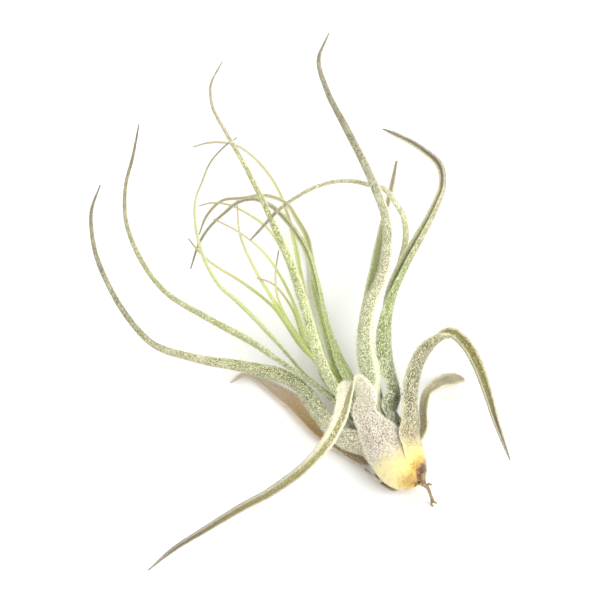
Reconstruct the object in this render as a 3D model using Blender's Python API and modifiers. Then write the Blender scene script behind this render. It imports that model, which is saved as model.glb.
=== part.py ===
"""An air plant (a scaly tillandsia) as picked, lying on a surface.

The flat spot under the bulb is the origin, the root end points toward -Y and +X, and the leaves fan
out toward -X and +Y. Sizes are millimetres here and metres in the model. The plant rests on z = 0.
"""

import math
from dataclasses import dataclass

import bmesh
import bpy
from mathutils import Vector

MM = 0.001
PLANT_NAME = "air_plant"

# The bulb: nested sheaths on an egg shape whose long axis rises a little away from the roots.
BULB_MIDDLE = Vector((-4.0, 1.3, 9.8))
REST_SPOT = Vector((-2.0, -2.3, 0))
BULB_AXIS = Vector((-0.531, 0.822, 0.205)).normalized()
BULB_RADIUS = 9.8
BULB_ROOT_LENGTH = 17.5
BULB_NECK_LENGTH = 42.0
LAYER_PITCH = 1.1
SHEATH_THICKNESS = 0.72
BLADE_THICKNESS = 0.66
THINNEST_CORE = 0.12
NARROWING_START = 0.35
ROLL_START = 0.5
ROLL_SPAN = 3.5
EXIT_FLARE = 1.25
LARGEST_EXIT = 0.95

SHEATH_COLLAR_RADIUS = 3.3

# The stem's profile from the scar to its top: distance past the bulb's middle and radius.
STEM_OUTLINE = [(-15.2, 0), (-15.2, 2), (-14.8, 2.4), (-14.2, 2.3), (-6.9, 2.2), (-6.4, 1.7), (-6.4, 0)]
STEM_SIDES = 20
WELD_DISTANCE = 0.00001
JOIN_DISTANCE = 0.000001
CUT_TOLERANCE = 0.0000001

COLUMNS = 7
ROOT_ROWS = 5
NECK_ROW_STEP = 3.0
ROWS_PER_SEGMENT = 2
TIP_WIDTH = 0.7

AXIS_TOP = (Vector((0, 0, 1)) - BULB_AXIS * BULB_AXIS.z).normalized()
AXIS_RIGHT = BULB_AXIS.cross(AXIS_TOP)


@dataclass
class Leaf:
    """One leaf: where its sheath sits round the bulb and the route that its blade takes.

    layer is 0 for the outermost sheath. facing and wrap are degrees round the bulb, from its top and
    positive to the right. parts_at is how far past the bulb's middle the blade leaves it. roll is half
    the angle of the channelled blade's arc. route holds x, y, z and the width seen across the blade.
    twist is how many degrees the blade turns about its own length, from twist_start to twist_end of it.
    collar is the sheath's radius at its root end.
    """

    name: str
    finish: str
    layer: float
    facing: float
    wrap: float
    parts_at: float
    roll: float
    route: list
    twist: float = 0.0
    twist_start: float = 0.0
    twist_end: float = 1.0
    collar: float = SHEATH_COLLAR_RADIUS


LEAVES = [
    Leaf("leaf_outer_left", "leaf_silver", 2, -94, 60, 0, 105, [
        (-16.8, 2.6, 8.6, 11), (-23.8, 12.1, 7.9, 9.6), (-31.5, 22.6, 8.5, 6), (-44.5, 27.6, 8, 4.4),
        (-61.5, 31.3, 8, 3.1), (-73.5, 35.4, 9, 2.6), (-81.5, 43.5, 12, 2.3), (-87.5, 53.5, 15, 2.1),
        (-91.5, 64, 19, 1.6), (-92, 75, 22, 1.2), (-89.5, 82, 24, TIP_WIDTH)]),
    Leaf("leaf_second_left", "leaf_silver", 3, -85, 32, 7, 110, [
        (-22.5, 15.5, 14.6, 3.4), (-35, 26.5, 13.3, 2.8), (-44.5, 35.5, 10.5, 2.5), (-57.5, 44.5, 9, 2.1),
        (-70, 53, 10, 1.7), (-78, 63, 14, 1.5), (-82, 73, 19, 1.3), (-82, 82.5, 23, 1.1),
        (-80, 89.5, 27, 1.0), (-78, 99.5, 30, TIP_WIDTH)]),
    Leaf("leaf_front", "leaf_cream", 1, -22, 62, 9, 95, [
        (-9.8, 10.3, 22.5, 5.8), (-12.5, 13, 26, 4.6), (-14.5, 11.5, 29, 4.5), (-16, 6.5, 31, 4.5),
        (-18, -0.5, 30, 4.4), (-22, -7.5, 26.5, 4.1), (-29.5, -14, 21.5, 3.6), (-38.5, -19, 17, 3.2),
        (-48, -23.5, 14.5, 2.8), (-58.5, -30, 13, 2.2), (-68, -36.5, 12, 1.6),
        (-74.5, -43, 12, TIP_WIDTH)], -95, 0.2, 0.5),
    Leaf("leaf_top", "leaf_silver", 3, 12, 44, 12, 105, [
        (-8.5, 18.5, 20.2, 6.6), (-9.8, 24.5, 24, 5.9), (-9.9, 31.5, 28, 4.5), (-8.7, 37, 31, 3.9),
        (-5.5, 43.5, 34, 3.4), (-3.5, 52, 37, 2.9), (-3.5, 59.5, 39, 2.9), (-6.5, 69.5, 41, 2.7),
        (-10.5, 79, 43, 2.5), (-16, 90, 45, 2.1), (-21.5, 101.5, 47, 1.6), (-24, 111.5, 48, 1.3),
        (-21, 120, 49, TIP_WIDTH)]),
    Leaf("leaf_right_hook", "leaf_silver", 2, 54, 48, 7, 105, [
        (-1.6, 14.5, 15.6, 6.4), (-2.8, 22, 17, 5.9), (-3.8, 29, 19.6, 5.1), (-3.8, 36.5, 22.8, 4.6),
        (-2.2, 43.5, 26, 4.3), (1.5, 51.5, 29, 3.7), (6, 59, 32, 2.9), (11, 69, 34, 2.5), (13, 75, 35, 2.3),
        (12.5, 81, 36, 2.1), (6.5, 87.3, 37, 1.8), (-1.5, 91.6, 38, 1.3), (-5, 93.2, 38, TIP_WIDTH)],
        60, 0.1, 0.38),
    Leaf("leaf_right_arch", "leaf_silver", 0, 52, 56, -4, 95, [
        (4, 5.6, 15.8, 10.5), (3.6, 10.5, 16.8, 8), (4.1, 17.5, 19, 6.4), (6.8, 24.5, 22, 5.2),
        (11.3, 28.7, 24.5, 4.6), (14.8, 30.3, 24.5, 4.3), (19.7, 27.8, 21.4, 4), (22.1, 24.5, 18.8, 3.9),
        (24.4, 20, 15.6, 3.6), (26.5, 15, 12, 3), (28.4, 9.5, 9, 2.3), (30.6, 4, 6, 1.5),
        (32.8, -1, 3.5, TIP_WIDTH)], 100, 0.3, 0.55, 4.3),
    Leaf("leaf_short_spoon", "leaf_silver", 1, 112, 42, -3, 62, [
        (6.8, 7.5, 8.5, 4), (6.9, 13.5, 9.5, 3.2), (8.2, 18, 10.2, 3.6), (10.8, 21.6, 9.4, 5),
        (14.5, 24.8, 6.4, 5), (18.7, 28, 1.8, 1.0)], 45, 0.2, 0.7),
    Leaf("leaf_thin_arch", "leaf_silver", 4, 50, 40, 14, 110, [
        (-8, 22.5, 15, 3), (-6.5, 36, 16.5, 2.6), (-2.5, 48, 20, 2.3), (0.5, 55.5, 24, 2),
        (2, 61.5, 29, 1.8), (1.5, 65.5, 32, 1.7), (-1, 70, 34, 1.6), (-4.5, 74, 35.5, 1.4),
        (-10, 75.5, 36, 1.3), (-16, 76.5, 36, 1.2), (-21.5, 76, 35.5, 1.1), (-29.5, 72.5, 34.5, 1.1),
        (-36.5, 67.5, 33.5, 1), (-42, 62, 31, 0.9), (-44.5, 60, 29, TIP_WIDTH)]),
    Leaf("leaf_flat_back", "leaf_green", 3, 115, 44, 8, 75, [
        (-7.6, 27, 8, 4.2), (-10, 40.5, 9, 4.2), (-8.6, 53, 8, 3.9), (-5.8, 70.5, 8, 2.9),
        (-4.1, 80.5, 9, 2), (-2.1, 90, 10, 1.5), (-0.6, 98, 11, 0.8)], 60, 0, 0.35),
    Leaf("leaf_centre", "leaf_silver", 4, -60, 36, 11, 110, [
        (-19.1, 13.4, 20.2, 4.1), (-22.6, 20.5, 20.1, 4.4), (-25.2, 27.5, 20.5, 3.9), (-27.7, 37, 22.3, 3.3),
        (-30.8, 48.5, 24, 2.9), (-36.6, 63.5, 27, 2.3), (-42, 76, 29, 1.9), (-48, 88, 31, 1.6),
        (-52.5, 96, 33, 1.1), (-56, 103, 35, 0.9), (-56.5, 108.5, 37, 0.8),
        (-53, 115.5, 40, TIP_WIDTH)]),
    Leaf("leaf_curl", "leaf_green", 5, -5, 44, 14, 110, [
        (-16.8, 24, 16, 3.4), (-20.3, 35.5, 15, 2.9), (-22.8, 45.5, 15, 2.6), (-24.7, 53.5, 16, 2.3),
        (-27, 62, 17, 2), (-29.5, 67, 18, 1.9), (-34, 73, 19.5, 1.7), (-39, 77, 21, 1.5),
        (-44, 79, 21, 1.3), (-47.5, 78.5, 20.5, 1.2), (-52.5, 75.5, 18.5, 1.1), (-56.5, 72, 17, 1),
        (-60, 67, 15, 0.9), (-62.5, 60, 12, TIP_WIDTH)], 120, 0, 0.3),
    Leaf("leaf_low", "leaf_green", 4, 172, 46, 8, 100, [
        (-18.3, 28, 5.6, 2.8), (-20.5, 37, 4.2, 2.6), (-23, 47.5, 3, 2.4), (-25.5, 59.5, 0.95, 2.2),
        (-26.5, 70.5, 0.95, 2), (-28, 76.5, 4, 1.8), (-30.5, 80, 7, 1.6), (-33.5, 84, 9, 1.4),
        (-40, 86, 11, 1.2), (-47, 84.5, 12, 1.1), (-53, 84, 11.5, 1), (-57.5, 80, 10, 0.9),
        (-60, 73.5, 9, TIP_WIDTH)]),
    Leaf("leaf_back_long", "leaf_green", 5, -165, 33, 8, 110, [
        (-23, 26.5, 8, 2.2), (-23.5, 35.5, 6, 1.9), (-26.5, 47.5, 4, 1.7), (-29, 59.5, 3.5, 1.6),
        (-31, 71.5, 3.5, 1.5), (-33.5, 83.5, 4, 1.2), (-35.5, 89.5, 5, 1.1), (-39.5, 95.5, 8, 1),
        (-44, 99.5, 11, 0.9), (-48.5, 102, 13, 0.9), (-57, 102, 15, 0.8), (-62, 100, 16, TIP_WIDTH)]),
    Leaf("leaf_left_inner", "leaf_green", 5, -95, 33, 11, 110, [
        (-28, 23, 12, 3), (-34.5, 31.5, 12, 2.4), (-40.5, 39, 12.5, 2), (-49, 48, 14, 1.5),
        (-54, 52, 16, 1.3), (-57.5, 57.5, 18, 1.2), (-59.5, 62.5, 20, 1.1), (-61, 69.5, 22, 1),
        (-61, 77, 24, 0.9), (-59, 82.5, 25, 0.9), (-56, 89.5, 26, 0.8), (-52, 94, 27, 0.8),
        (-48.5, 96.5, 27.5, TIP_WIDTH)]),
    Leaf("leaf_dried", "leaf_dried", 0, -164, 48, -2, 80, [
        (-11.5, -0.6, 1.8, 4.6), (-16.5, 3.4, 1.9, 3.8), (-23.5, 11, 1.8, 3.5), (-28, 17.4, 1.5, 2.9),
        (-32, 21.8, 1, 2.6), (-37, 25, 0.5, 2.6), (-42.5, 29, 0.5, 2.4), (-46, 29.8, 0.6, 2),
        (-50.5, 27, 0.8, TIP_WIDTH)], collar=6.5),
    Leaf("dried_scale", "leaf_dried", 0, -100, 15, -9, 40, [
        (-9.3, -6.6, 3.6, 3), (-11.2, -4.6, 3, 1)]),
]

# Young leaves in the heart: x, y, z along each, with its width at the base.
YOUNG_LEAVES = [
    (1.1, [(-15, 20.5, 13), (-23, 27.5, 13), (-29, 45, 13.5), (-34, 62.5, 14.5), (-39.5, 72.5, 15),
           (-46, 77.5, 15.5), (-51.5, 80, 16), (-56.5, 80.5, 16), (-60, 79.5, 16)]),
    (1.7, [(-17.5, 19.5, 12.6), (-27.5, 30.5, 14), (-32, 37, 15.5), (-38, 46.5, 17.5), (-43.5, 56, 20),
           (-47.5, 65.5, 22), (-48.5, 75.5, 24)]),
    (1.2, [(-17.5, 21.5, 12.8), (-28, 35, 16), (-31, 43, 18), (-35, 51.5, 20.5), (-41.5, 60, 24),
           (-49, 65.5, 25.5), (-55.5, 69, 26)]),
    (1.1, [(-17.5, 20, 13), (-28, 33.5, 13), (-32.5, 44.5, 17), (-38.5, 50.5, 20), (-42.5, 51.5, 21)]),
    (1.3, [(-16.5, 19.5, 12), (-29.5, 34, 11), (-38, 47.5, 11.5), (-47, 55, 12.5), (-57.5, 61.5, 15),
           (-61, 64.5, 17), (-63, 67, 18)]),
    (1.0, [(-17, 22, 12.8), (-32.5, 38.5, 16), (-36.5, 47, 19), (-37, 52.5, 21), (-36, 60, 23)]),
]
YOUNG_TIP_WIDTH = 0.6

# The heart's core: distance past the bulb's middle and width.
HEART_CORE = [(-5.9, 4.2), (-3.4, 5.2), (0, 5.2), (6, 4.9), (11, 3.9), (15, 2.1)]
YOUNG_SEAT = 8.3
YOUNG_SEAT_OFFSET = 0.9
YOUNG_SEAT_TURN = 60
YOUNG_TAPER = 1.5

ROOT_RUNS = [
    (1.3, [(5.7, -11.3, 8), (7.3, -11.7, 7.4), (8.5, -12.2, 5.5), (9.3, -13, 3.1), (9.6, -13.8, 1)]),
    (0.9, [(9.3, -13, 3.1), (9.9, -13.9, 1.8), (10.9, -14.3, 1.2)]),
    (0.8, [(9.5, -13.5, 1.8), (9.4, -14.6, 1.1), (9.9, -15.3, 0.7)]),
    (0.9, [(7.6, -11.8, 7), (8.6, -11.3, 7.1), (9.3, -11.1, 6.6)]),
]

ROOT_ROWS_PER_SEGMENT = 3
ROOT_TAPER = 0.4

FINISHES = {
    "leaf_silver": ((0.55, 0.58, 0.44, 1), 0.9),
    "leaf_green": ((0.45, 0.55, 0.28, 1), 0.85),
    "leaf_cream": ((0.68, 0.68, 0.5, 1), 0.9),
    "leaf_young": ((0.62, 0.68, 0.34, 1), 0.8),
    "leaf_dried": ((0.42, 0.32, 0.2, 1), 0.9),
    "stem_bark": ((0.24, 0.14, 0.07, 1), 0.95),
    "root_bark": ((0.38, 0.29, 0.17, 1), 0.9),
}


def smooth_step(value):
    """Ease a value from 0 to 1."""
    value = min(1.0, max(0.0, value))
    return value * value * (3 - 2 * value)


def round_bulb(angle):
    """Direction away from the bulb's axis at an angle in degrees from its top, positive to the right."""
    turn = math.radians(angle)
    return AXIS_TOP * math.cos(turn) + AXIS_RIGHT * math.sin(turn)


def sheath_profile(layer, along):
    """Radius and outward slope of a sheath layer at a distance along the bulb from its middle."""
    depth = layer * LAYER_PITCH
    length = (BULB_ROOT_LENGTH - depth) if along < 0 else BULB_NECK_LENGTH
    radius = (BULB_RADIUS - depth) * math.sqrt(1 - (along / length) ** 2)
    slope = -((BULB_RADIUS - depth) / length) ** 2 * along / radius
    return radius, slope


def sheath_rows(leaf):
    """Distances along the bulb of the rows of a sheath, from its collar on the stem to where it parts."""
    depth = leaf.layer * LAYER_PITCH
    length = BULB_ROOT_LENGTH - depth
    start = math.asin(leaf.collar / (BULB_RADIUS - depth))
    end = math.acos(max(0.0, -leaf.parts_at) / length)
    rows = [-length * math.cos(start + (end - start) * i / ROOT_ROWS) for i in range(ROOT_ROWS + 1)]
    neck = max(0, math.ceil(leaf.parts_at / NECK_ROW_STEP))
    return rows + [leaf.parts_at * (i + 1) / neck for i in range(neck)]


def sheath_ring(leaf, along, half_angle):
    """Outer and inner points across a sheath at one distance along the bulb."""
    radius, slope = sheath_profile(leaf.layer, along)
    on_axis = BULB_MIDDLE + BULB_AXIS * along
    outer, inner = [], []
    for column in range(COLUMNS):
        across = 2 * column / (COLUMNS - 1) - 1
        away = round_bulb(leaf.facing + half_angle * across)
        normal = (away - BULB_AXIS * slope).normalized()
        point = on_axis + away * radius
        outer.append(point)
        inner.append(point - normal * SHEATH_THICKNESS)
    return outer, inner


def blade_arc(width, half_angle):
    """Radius of the arc that shows a width across and turns through half_angle each side."""
    return width / 2 / math.sin(min(half_angle, math.pi / 2))


def blade_ring(middle, back, side, width, half_angle):
    """Outer and inner points across a channelled blade whose section is centred on middle."""
    radius = blade_arc(width, half_angle)
    thickness = min(BLADE_THICKNESS, radius * (1 - THINNEST_CORE))
    centre = middle - back * radius * (1 + math.cos(half_angle)) / 2
    outer, inner = [], []
    for column in range(COLUMNS):
        turn = half_angle * (2 * column / (COLUMNS - 1) - 1)
        away = back * math.cos(turn) + side * math.sin(turn)
        outer.append(centre + away * radius)
        inner.append(centre + away * (radius - thickness))
    return outer, inner


def smooth_path(points, first_tangent, rows):
    """Points and tangents along a smooth curve through points, rows to each stretch."""
    steps = [(b - a).length for a, b in zip(points, points[1:])]
    chords = [(b - a) / step for a, b, step in zip(points, points[1:], steps)]
    tangents = [first_tangent or chords[0]]
    for before, after, left, right in zip(steps, steps[1:], chords, chords[1:]):
        tangents.append((left * after + right * before) / (before + after))
    tangents.append(chords[-1])
    samples = []
    for i, step in enumerate(steps):
        for row in range(rows):
            u = row / rows
            position = (points[i] * (2 * u ** 3 - 3 * u ** 2 + 1) + points[i + 1] * (3 * u ** 2 - 2 * u ** 3)
                        + tangents[i] * step * (u ** 3 - 2 * u ** 2 + u)
                        + tangents[i + 1] * step * (u ** 3 - u ** 2))
            heading = (points[i + 1] - points[i]) * (6 * u - 6 * u ** 2) / step
            heading += tangents[i] * (3 * u ** 2 - 4 * u + 1) + tangents[i + 1] * (3 * u ** 2 - 2 * u)
            samples.append((position, heading.normalized(), i + u))
    samples.append((points[-1], tangents[-1].normalized(), len(steps)))
    return samples


def leaf_rings(leaf):
    """Closed rings of points from a leaf's collar on the stem to its tip."""
    rings = []
    along_rows = sheath_rows(leaf)
    exit_radius, exit_slope = sheath_profile(leaf.layer, leaf.parts_at)
    exit_width = leaf.route[0][3]
    exit_angle = math.asin(min(LARGEST_EXIT, exit_width * EXIT_FLARE / 2 / exit_radius))
    for along in along_rows[:-1]:
        travelled = (along - along_rows[0]) / (along_rows[-1] - along_rows[0])
        narrowing = smooth_step((travelled - NARROWING_START) / (1 - NARROWING_START))
        half_angle = leaf.wrap + (math.degrees(exit_angle) - leaf.wrap) * narrowing
        rings.append(sheath_ring(leaf, along, half_angle))

    away = round_bulb(leaf.facing)
    heading = (BULB_AXIS + away * exit_slope).normalized()
    back = (away - BULB_AXIS * exit_slope).normalized()
    keel = BULB_MIDDLE + BULB_AXIS * leaf.parts_at + away * exit_radius
    start = keel - back * exit_radius * (1 - math.cos(exit_angle)) / 2
    points = [start] + [Vector(stop[:3]) for stop in leaf.route]
    widths = [exit_width * EXIT_FLARE] + [stop[3] for stop in leaf.route]
    samples = smooth_path(points, heading, ROWS_PER_SEGMENT)
    roll = math.radians(leaf.roll)
    turned = 0.0
    for position, heading, place in samples:
        stop = min(int(place), len(widths) - 2)
        width = widths[stop] + (widths[stop + 1] - widths[stop]) * (place - stop)
        half_angle = exit_angle + (roll - exit_angle) * smooth_step((place - ROLL_START) / ROLL_SPAN)
        back = (back - heading * back.dot(heading)).normalized()
        side = heading.cross(back)
        travelled = place / (len(points) - 1)
        share = smooth_step((travelled - leaf.twist_start) / (leaf.twist_end - leaf.twist_start))
        turn = math.radians(leaf.twist) * share - turned
        turned += turn
        back = (back * math.cos(turn) + side * math.sin(turn)).normalized()
        side = heading.cross(back)
        rings.append(blade_ring(position, back, side, width, half_angle))
    return rings


def loft(name, rings):
    """A closed solid through rings of outer and inner points, with both ends capped."""
    mesh = bmesh.new()
    rows = [([mesh.verts.new(p * MM) for p in outer], [mesh.verts.new(p * MM) for p in inner])
            for outer, inner in rings]
    for (outer, inner), (next_outer, next_inner) in zip(rows, rows[1:]):
        ring = outer + inner[::-1]
        next_ring = next_outer + next_inner[::-1]
        for i in range(len(ring)):
            j = (i + 1) % len(ring)
            flip = COLUMNS <= i < 2 * COLUMNS - 1
            quad = (ring[i], ring[j], next_ring[j], next_ring[i])
            quad = quad[1:] + quad[:1] if flip else quad
            mesh.faces.new((quad[0], quad[1], quad[2]))
            mesh.faces.new((quad[0], quad[2], quad[3]))
    for outer, inner in (rows[0], rows[-1]):
        for i in range(COLUMNS - 1):
            mesh.faces.new((outer[i], outer[i + 1], inner[i + 1], inner[i]))
    bmesh.ops.recalc_face_normals(mesh, faces=mesh.faces)
    bmesh.ops.triangulate(mesh, faces=[f for f in mesh.faces if len(f.verts) > 3])
    return to_object(name, mesh)


def to_object(name, mesh):
    """Turn a bmesh into an object of the plant's collection."""
    data = bpy.data.meshes.new(name)
    mesh.to_mesh(data)
    mesh.free()
    item = bpy.data.objects.new(name, data)
    item.location = -REST_SPOT * MM
    bpy.data.collections[PLANT_NAME].objects.link(item)
    return item


def shave_flat(item):
    """Cut away what reaches below the surface that the plant lies on, leaving a flat there."""
    mesh = bmesh.new()
    mesh.from_mesh(item.data)
    everything = mesh.verts[:] + mesh.edges[:] + mesh.faces[:]
    bmesh.ops.bisect_plane(mesh, geom=everything, dist=CUT_TOLERANCE, plane_co=(0, 0, 0), plane_no=(0, 0, -1),
                           clear_outer=True)
    rim = [edge for edge in mesh.edges if edge.is_boundary]
    if rim:
        filled = bmesh.ops.holes_fill(mesh, edges=rim)
        bmesh.ops.triangulate(mesh, faces=filled["faces"])
    mesh.to_mesh(item.data)
    mesh.free()


def tapered_tube(name, points, widths, sides_level):
    """A closed round tube through points, from its first width to its last."""
    curve = bpy.data.curves.new(name, "CURVE")
    curve.dimensions = "3D"
    curve.bevel_depth = MM / 2
    curve.bevel_resolution = sides_level
    curve.use_fill_caps = True
    spline = curve.splines.new("POLY")
    spline.points.add(len(points) - 1)
    for point, place, width in zip(spline.points, points, widths):
        point.co = (*(place * MM), 1)
        point.radius = width
    source = bpy.data.objects.new(name, curve)
    bpy.data.collections[PLANT_NAME].objects.link(source)
    data = bpy.data.meshes.new_from_object(source.evaluated_get(bpy.context.evaluated_depsgraph_get()))
    bpy.data.objects.remove(source)
    mesh = bmesh.new()
    mesh.from_mesh(data)
    bmesh.ops.remove_doubles(mesh, verts=mesh.verts, dist=JOIN_DISTANCE)
    bmesh.ops.recalc_face_normals(mesh, faces=mesh.faces)
    return to_object(name, mesh)


def fused(name, items):
    """Join several closed solids into one with a Boolean union."""
    joined = items[0]
    joined.name = name
    extras = bpy.data.collections.new(name + "_extras")
    bpy.context.scene.collection.children.link(extras)
    for item in items[1:]:
        bpy.data.collections[PLANT_NAME].objects.unlink(item)
        extras.objects.link(item)
    union = joined.modifiers.new("union", "BOOLEAN")
    union.operation = "UNION"
    union.operand_type = "COLLECTION"
    union.collection = extras
    union.solver = "EXACT"
    bpy.context.view_layer.update()
    data = bpy.data.meshes.new_from_object(joined.evaluated_get(bpy.context.evaluated_depsgraph_get()))
    joined.modifiers.clear()
    joined.data = data
    for item in items[1:]:
        bpy.data.objects.remove(item)
    bpy.data.collections.remove(extras)
    return joined


def make_heart():
    """The growing tip: a slim core with the youngest, thread-like leaves rising out of it."""
    core = tapered_tube("core", [BULB_MIDDLE + BULB_AXIS * span for span, _ in HEART_CORE],
                        [width for _, width in HEART_CORE], 3)
    pieces = [core]
    seat = BULB_MIDDLE + BULB_AXIS * YOUNG_SEAT
    for number, (width, route) in enumerate(YOUNG_LEAVES):
        offset = round_bulb(YOUNG_SEAT_TURN * number) * YOUNG_SEAT_OFFSET
        points = [seat + offset] + [Vector(stop) for stop in route]
        samples = [sample[0] for sample in smooth_path(points, BULB_AXIS, ROWS_PER_SEGMENT)]
        last = len(samples) - 1
        widths = [width + (YOUNG_TIP_WIDTH - width) * (i / last) ** YOUNG_TAPER
                  for i in range(len(samples))]
        pieces.append(tapered_tube(f"young_{number}", samples, widths, 1))
    return fused("heart_leaves", pieces)


def make_stem():
    """The short woody stem inside the bulb, with the brown scar where the plant was picked."""
    mesh = bmesh.new()
    corners = [mesh.verts.new((radius * MM, 0, along * MM)) for along, radius in STEM_OUTLINE]
    for low, high in zip(corners, corners[1:]):
        mesh.edges.new((high, low))
    stem = to_object("stem", mesh)
    screw = stem.modifiers.new("turn", "SCREW")
    screw.steps = STEM_SIDES
    screw.render_steps = STEM_SIDES
    screw.use_merge_vertices = True
    screw.merge_threshold = WELD_DISTANCE
    stem.location = (BULB_MIDDLE - REST_SPOT) * MM
    stem.rotation_euler = BULB_AXIS.to_track_quat("Z", "Y").to_euler()
    return stem


def make_roots():
    """The short wiry root that is left at the scar, with its forks."""
    runs = []
    for number, (width, route) in enumerate(ROOT_RUNS):
        path = smooth_path([Vector(stop) for stop in route], None, ROOT_ROWS_PER_SEGMENT)
        samples = [sample[0] for sample in path]
        widths = [width * (1 - ROOT_TAPER * i / (len(samples) - 1)) for i in range(len(samples))]
        runs.append(tapered_tube(f"run_{number}", samples, widths, 2))
    return fused("roots", runs)


def make_material(name):
    """A plain material for one finish."""
    colour, roughness = FINISHES[name]
    material = bpy.data.materials.new(name)
    material.use_nodes = True
    shader = material.node_tree.nodes["Principled BSDF"]
    shader.inputs["Base Color"].default_value = colour
    shader.inputs["Roughness"].default_value = roughness
    material.diffuse_color = colour
    return material


def build():
    """Model the whole plant."""
    for item in list(bpy.data.objects):
        bpy.data.objects.remove(item)
    bpy.context.scene.collection.children.link(bpy.data.collections.new(PLANT_NAME))

    finishes = {"stem": "stem_bark", "roots": "root_bark", "heart_leaves": "leaf_young"}
    for leaf in LEAVES:
        item = loft(leaf.name, leaf_rings(leaf))
        shave_flat(item)
        finishes[leaf.name] = leaf.finish
    make_heart()
    make_stem()
    make_roots()
    for name, finish in finishes.items():
        bpy.data.objects[name].data.materials.append(make_material(finish))


build()
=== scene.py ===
"""Looks of an air plant as picked, lying on a pale table.

Tables hold millimetres, whose origin moves to the flat spot under the bulb as a mesh is finished. A
leaf is one swept sheet: its sheath wraps the bulb and its blade is a channel that narrows to the tip.
Its surface is dressed with the flat silvery scales that such plants drink through.
"""

import logging
import math
from dataclasses import dataclass
from enum import Enum

import bmesh
import bpy
import numpy as np
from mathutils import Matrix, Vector, noise


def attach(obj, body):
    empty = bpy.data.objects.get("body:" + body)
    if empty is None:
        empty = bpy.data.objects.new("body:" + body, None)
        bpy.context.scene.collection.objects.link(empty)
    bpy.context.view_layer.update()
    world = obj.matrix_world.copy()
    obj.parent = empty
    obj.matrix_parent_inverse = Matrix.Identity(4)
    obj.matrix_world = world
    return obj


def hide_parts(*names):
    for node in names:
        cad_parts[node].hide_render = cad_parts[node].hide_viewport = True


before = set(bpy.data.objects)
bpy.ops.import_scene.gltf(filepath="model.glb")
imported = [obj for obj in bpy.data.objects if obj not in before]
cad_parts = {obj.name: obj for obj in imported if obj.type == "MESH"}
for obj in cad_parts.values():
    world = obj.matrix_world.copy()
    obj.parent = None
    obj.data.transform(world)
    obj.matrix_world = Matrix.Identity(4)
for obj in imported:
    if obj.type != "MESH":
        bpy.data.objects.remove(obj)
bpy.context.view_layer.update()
LOG = logging.getLogger("air_plant")

MM = 0.001
REST_SPOT = Vector((-2.0, -2.3, 0))
BODY = "root"
# This seed settles how the leaves sway: without one, the noise would draw its own from the clock.
SWAY_SEED = 4
# Points of a mesh that are no farther apart than this, in millimetres, become one.
WELD = 1e-4

Colour = tuple[int, int, int]
Band = tuple[float, float]
Triple = tuple[float, float, float]
Stops = tuple[tuple[float, Colour], ...]
Route = list[tuple[float, ...]]
Socket = bpy.types.NodeSocket
Value = Socket | Vector | float | tuple[float, ...]


class Slot(Enum):
    """The record's finishes."""

    SILVER = "leaf_silver"
    GREEN = "leaf_green"
    CREAM = "leaf_cream"
    YOUNG = "leaf_young"
    DRIED = "leaf_dried"
    STEM = "stem_bark"
    ROOT = "root_bark"


def smooth_step(value: float) -> float:
    """Ease a value from 0 to 1."""
    value = min(1.0, max(0.0, value))
    return value * value * (3 - 2 * value)


def paint(colour: Colour) -> tuple[float, float, float, float]:
    """Turn a screen colour of 0 to 255 into a linear one with full opacity."""
    linear = [((c / 255 + 0.055) / 1.055) ** 2.4 if c > 10 else c / 255 / 12.92 for c in colour]
    return (*linear, 1.0)


def unit(vectors: np.ndarray) -> np.ndarray:
    """Scale rows of vectors to a length of one."""
    return vectors / np.maximum(np.linalg.norm(vectors, axis=-1, keepdims=True), 1e-12)


def settle(place: Vector) -> Triple:
    """Move a place in millimetres to metres from the spot where the plant rests, above the table."""
    spot = place - REST_SPOT
    return spot.x * MM, spot.y * MM, max(0.0, spot.z) * MM


def smooth_path(points: list[Vector], first_heading: Vector | None,
                rows: int) -> list[tuple[Vector, Vector, float]]:
    """Sample a smooth curve through points.

    Args:
        points: The stops that the curve passes through.
        first_heading: The direction in which it sets out, or None to head for the second stop.
        rows: How many samples each stretch between two stops gets.

    Returns:
        Position, heading and place for each sample, where place counts the stops passed.
    """
    steps = [(b - a).length for a, b in zip(points, points[1:])]
    chords = [(b - a) / step for a, b, step in zip(points, points[1:], steps)]
    tangents = [first_heading or chords[0]]
    for before, after, left, right in zip(steps, steps[1:], chords, chords[1:]):
        tangents.append((left * after + right * before) / (before + after))
    tangents.append(chords[-1])
    samples = []
    for i, step in enumerate(steps):
        for row in range(rows):
            u = row / rows
            rise = 3 * u ** 2 - 2 * u ** 3
            position = (points[i] * (1 - rise) + points[i + 1] * rise
                        + tangents[i] * step * (u ** 3 - 2 * u ** 2 + u)
                        + tangents[i + 1] * step * (u ** 3 - u ** 2))
            heading = (points[i + 1] - points[i]) * (6 * u - 6 * u ** 2) / step
            heading += tangents[i] * (3 * u ** 2 - 4 * u + 1) + tangents[i + 1] * (3 * u ** 2 - 2 * u)
            samples.append((position, heading.normalized(), i + u))
    samples.append((points[-1], tangents[-1].normalized(), float(len(steps))))
    return samples


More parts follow.
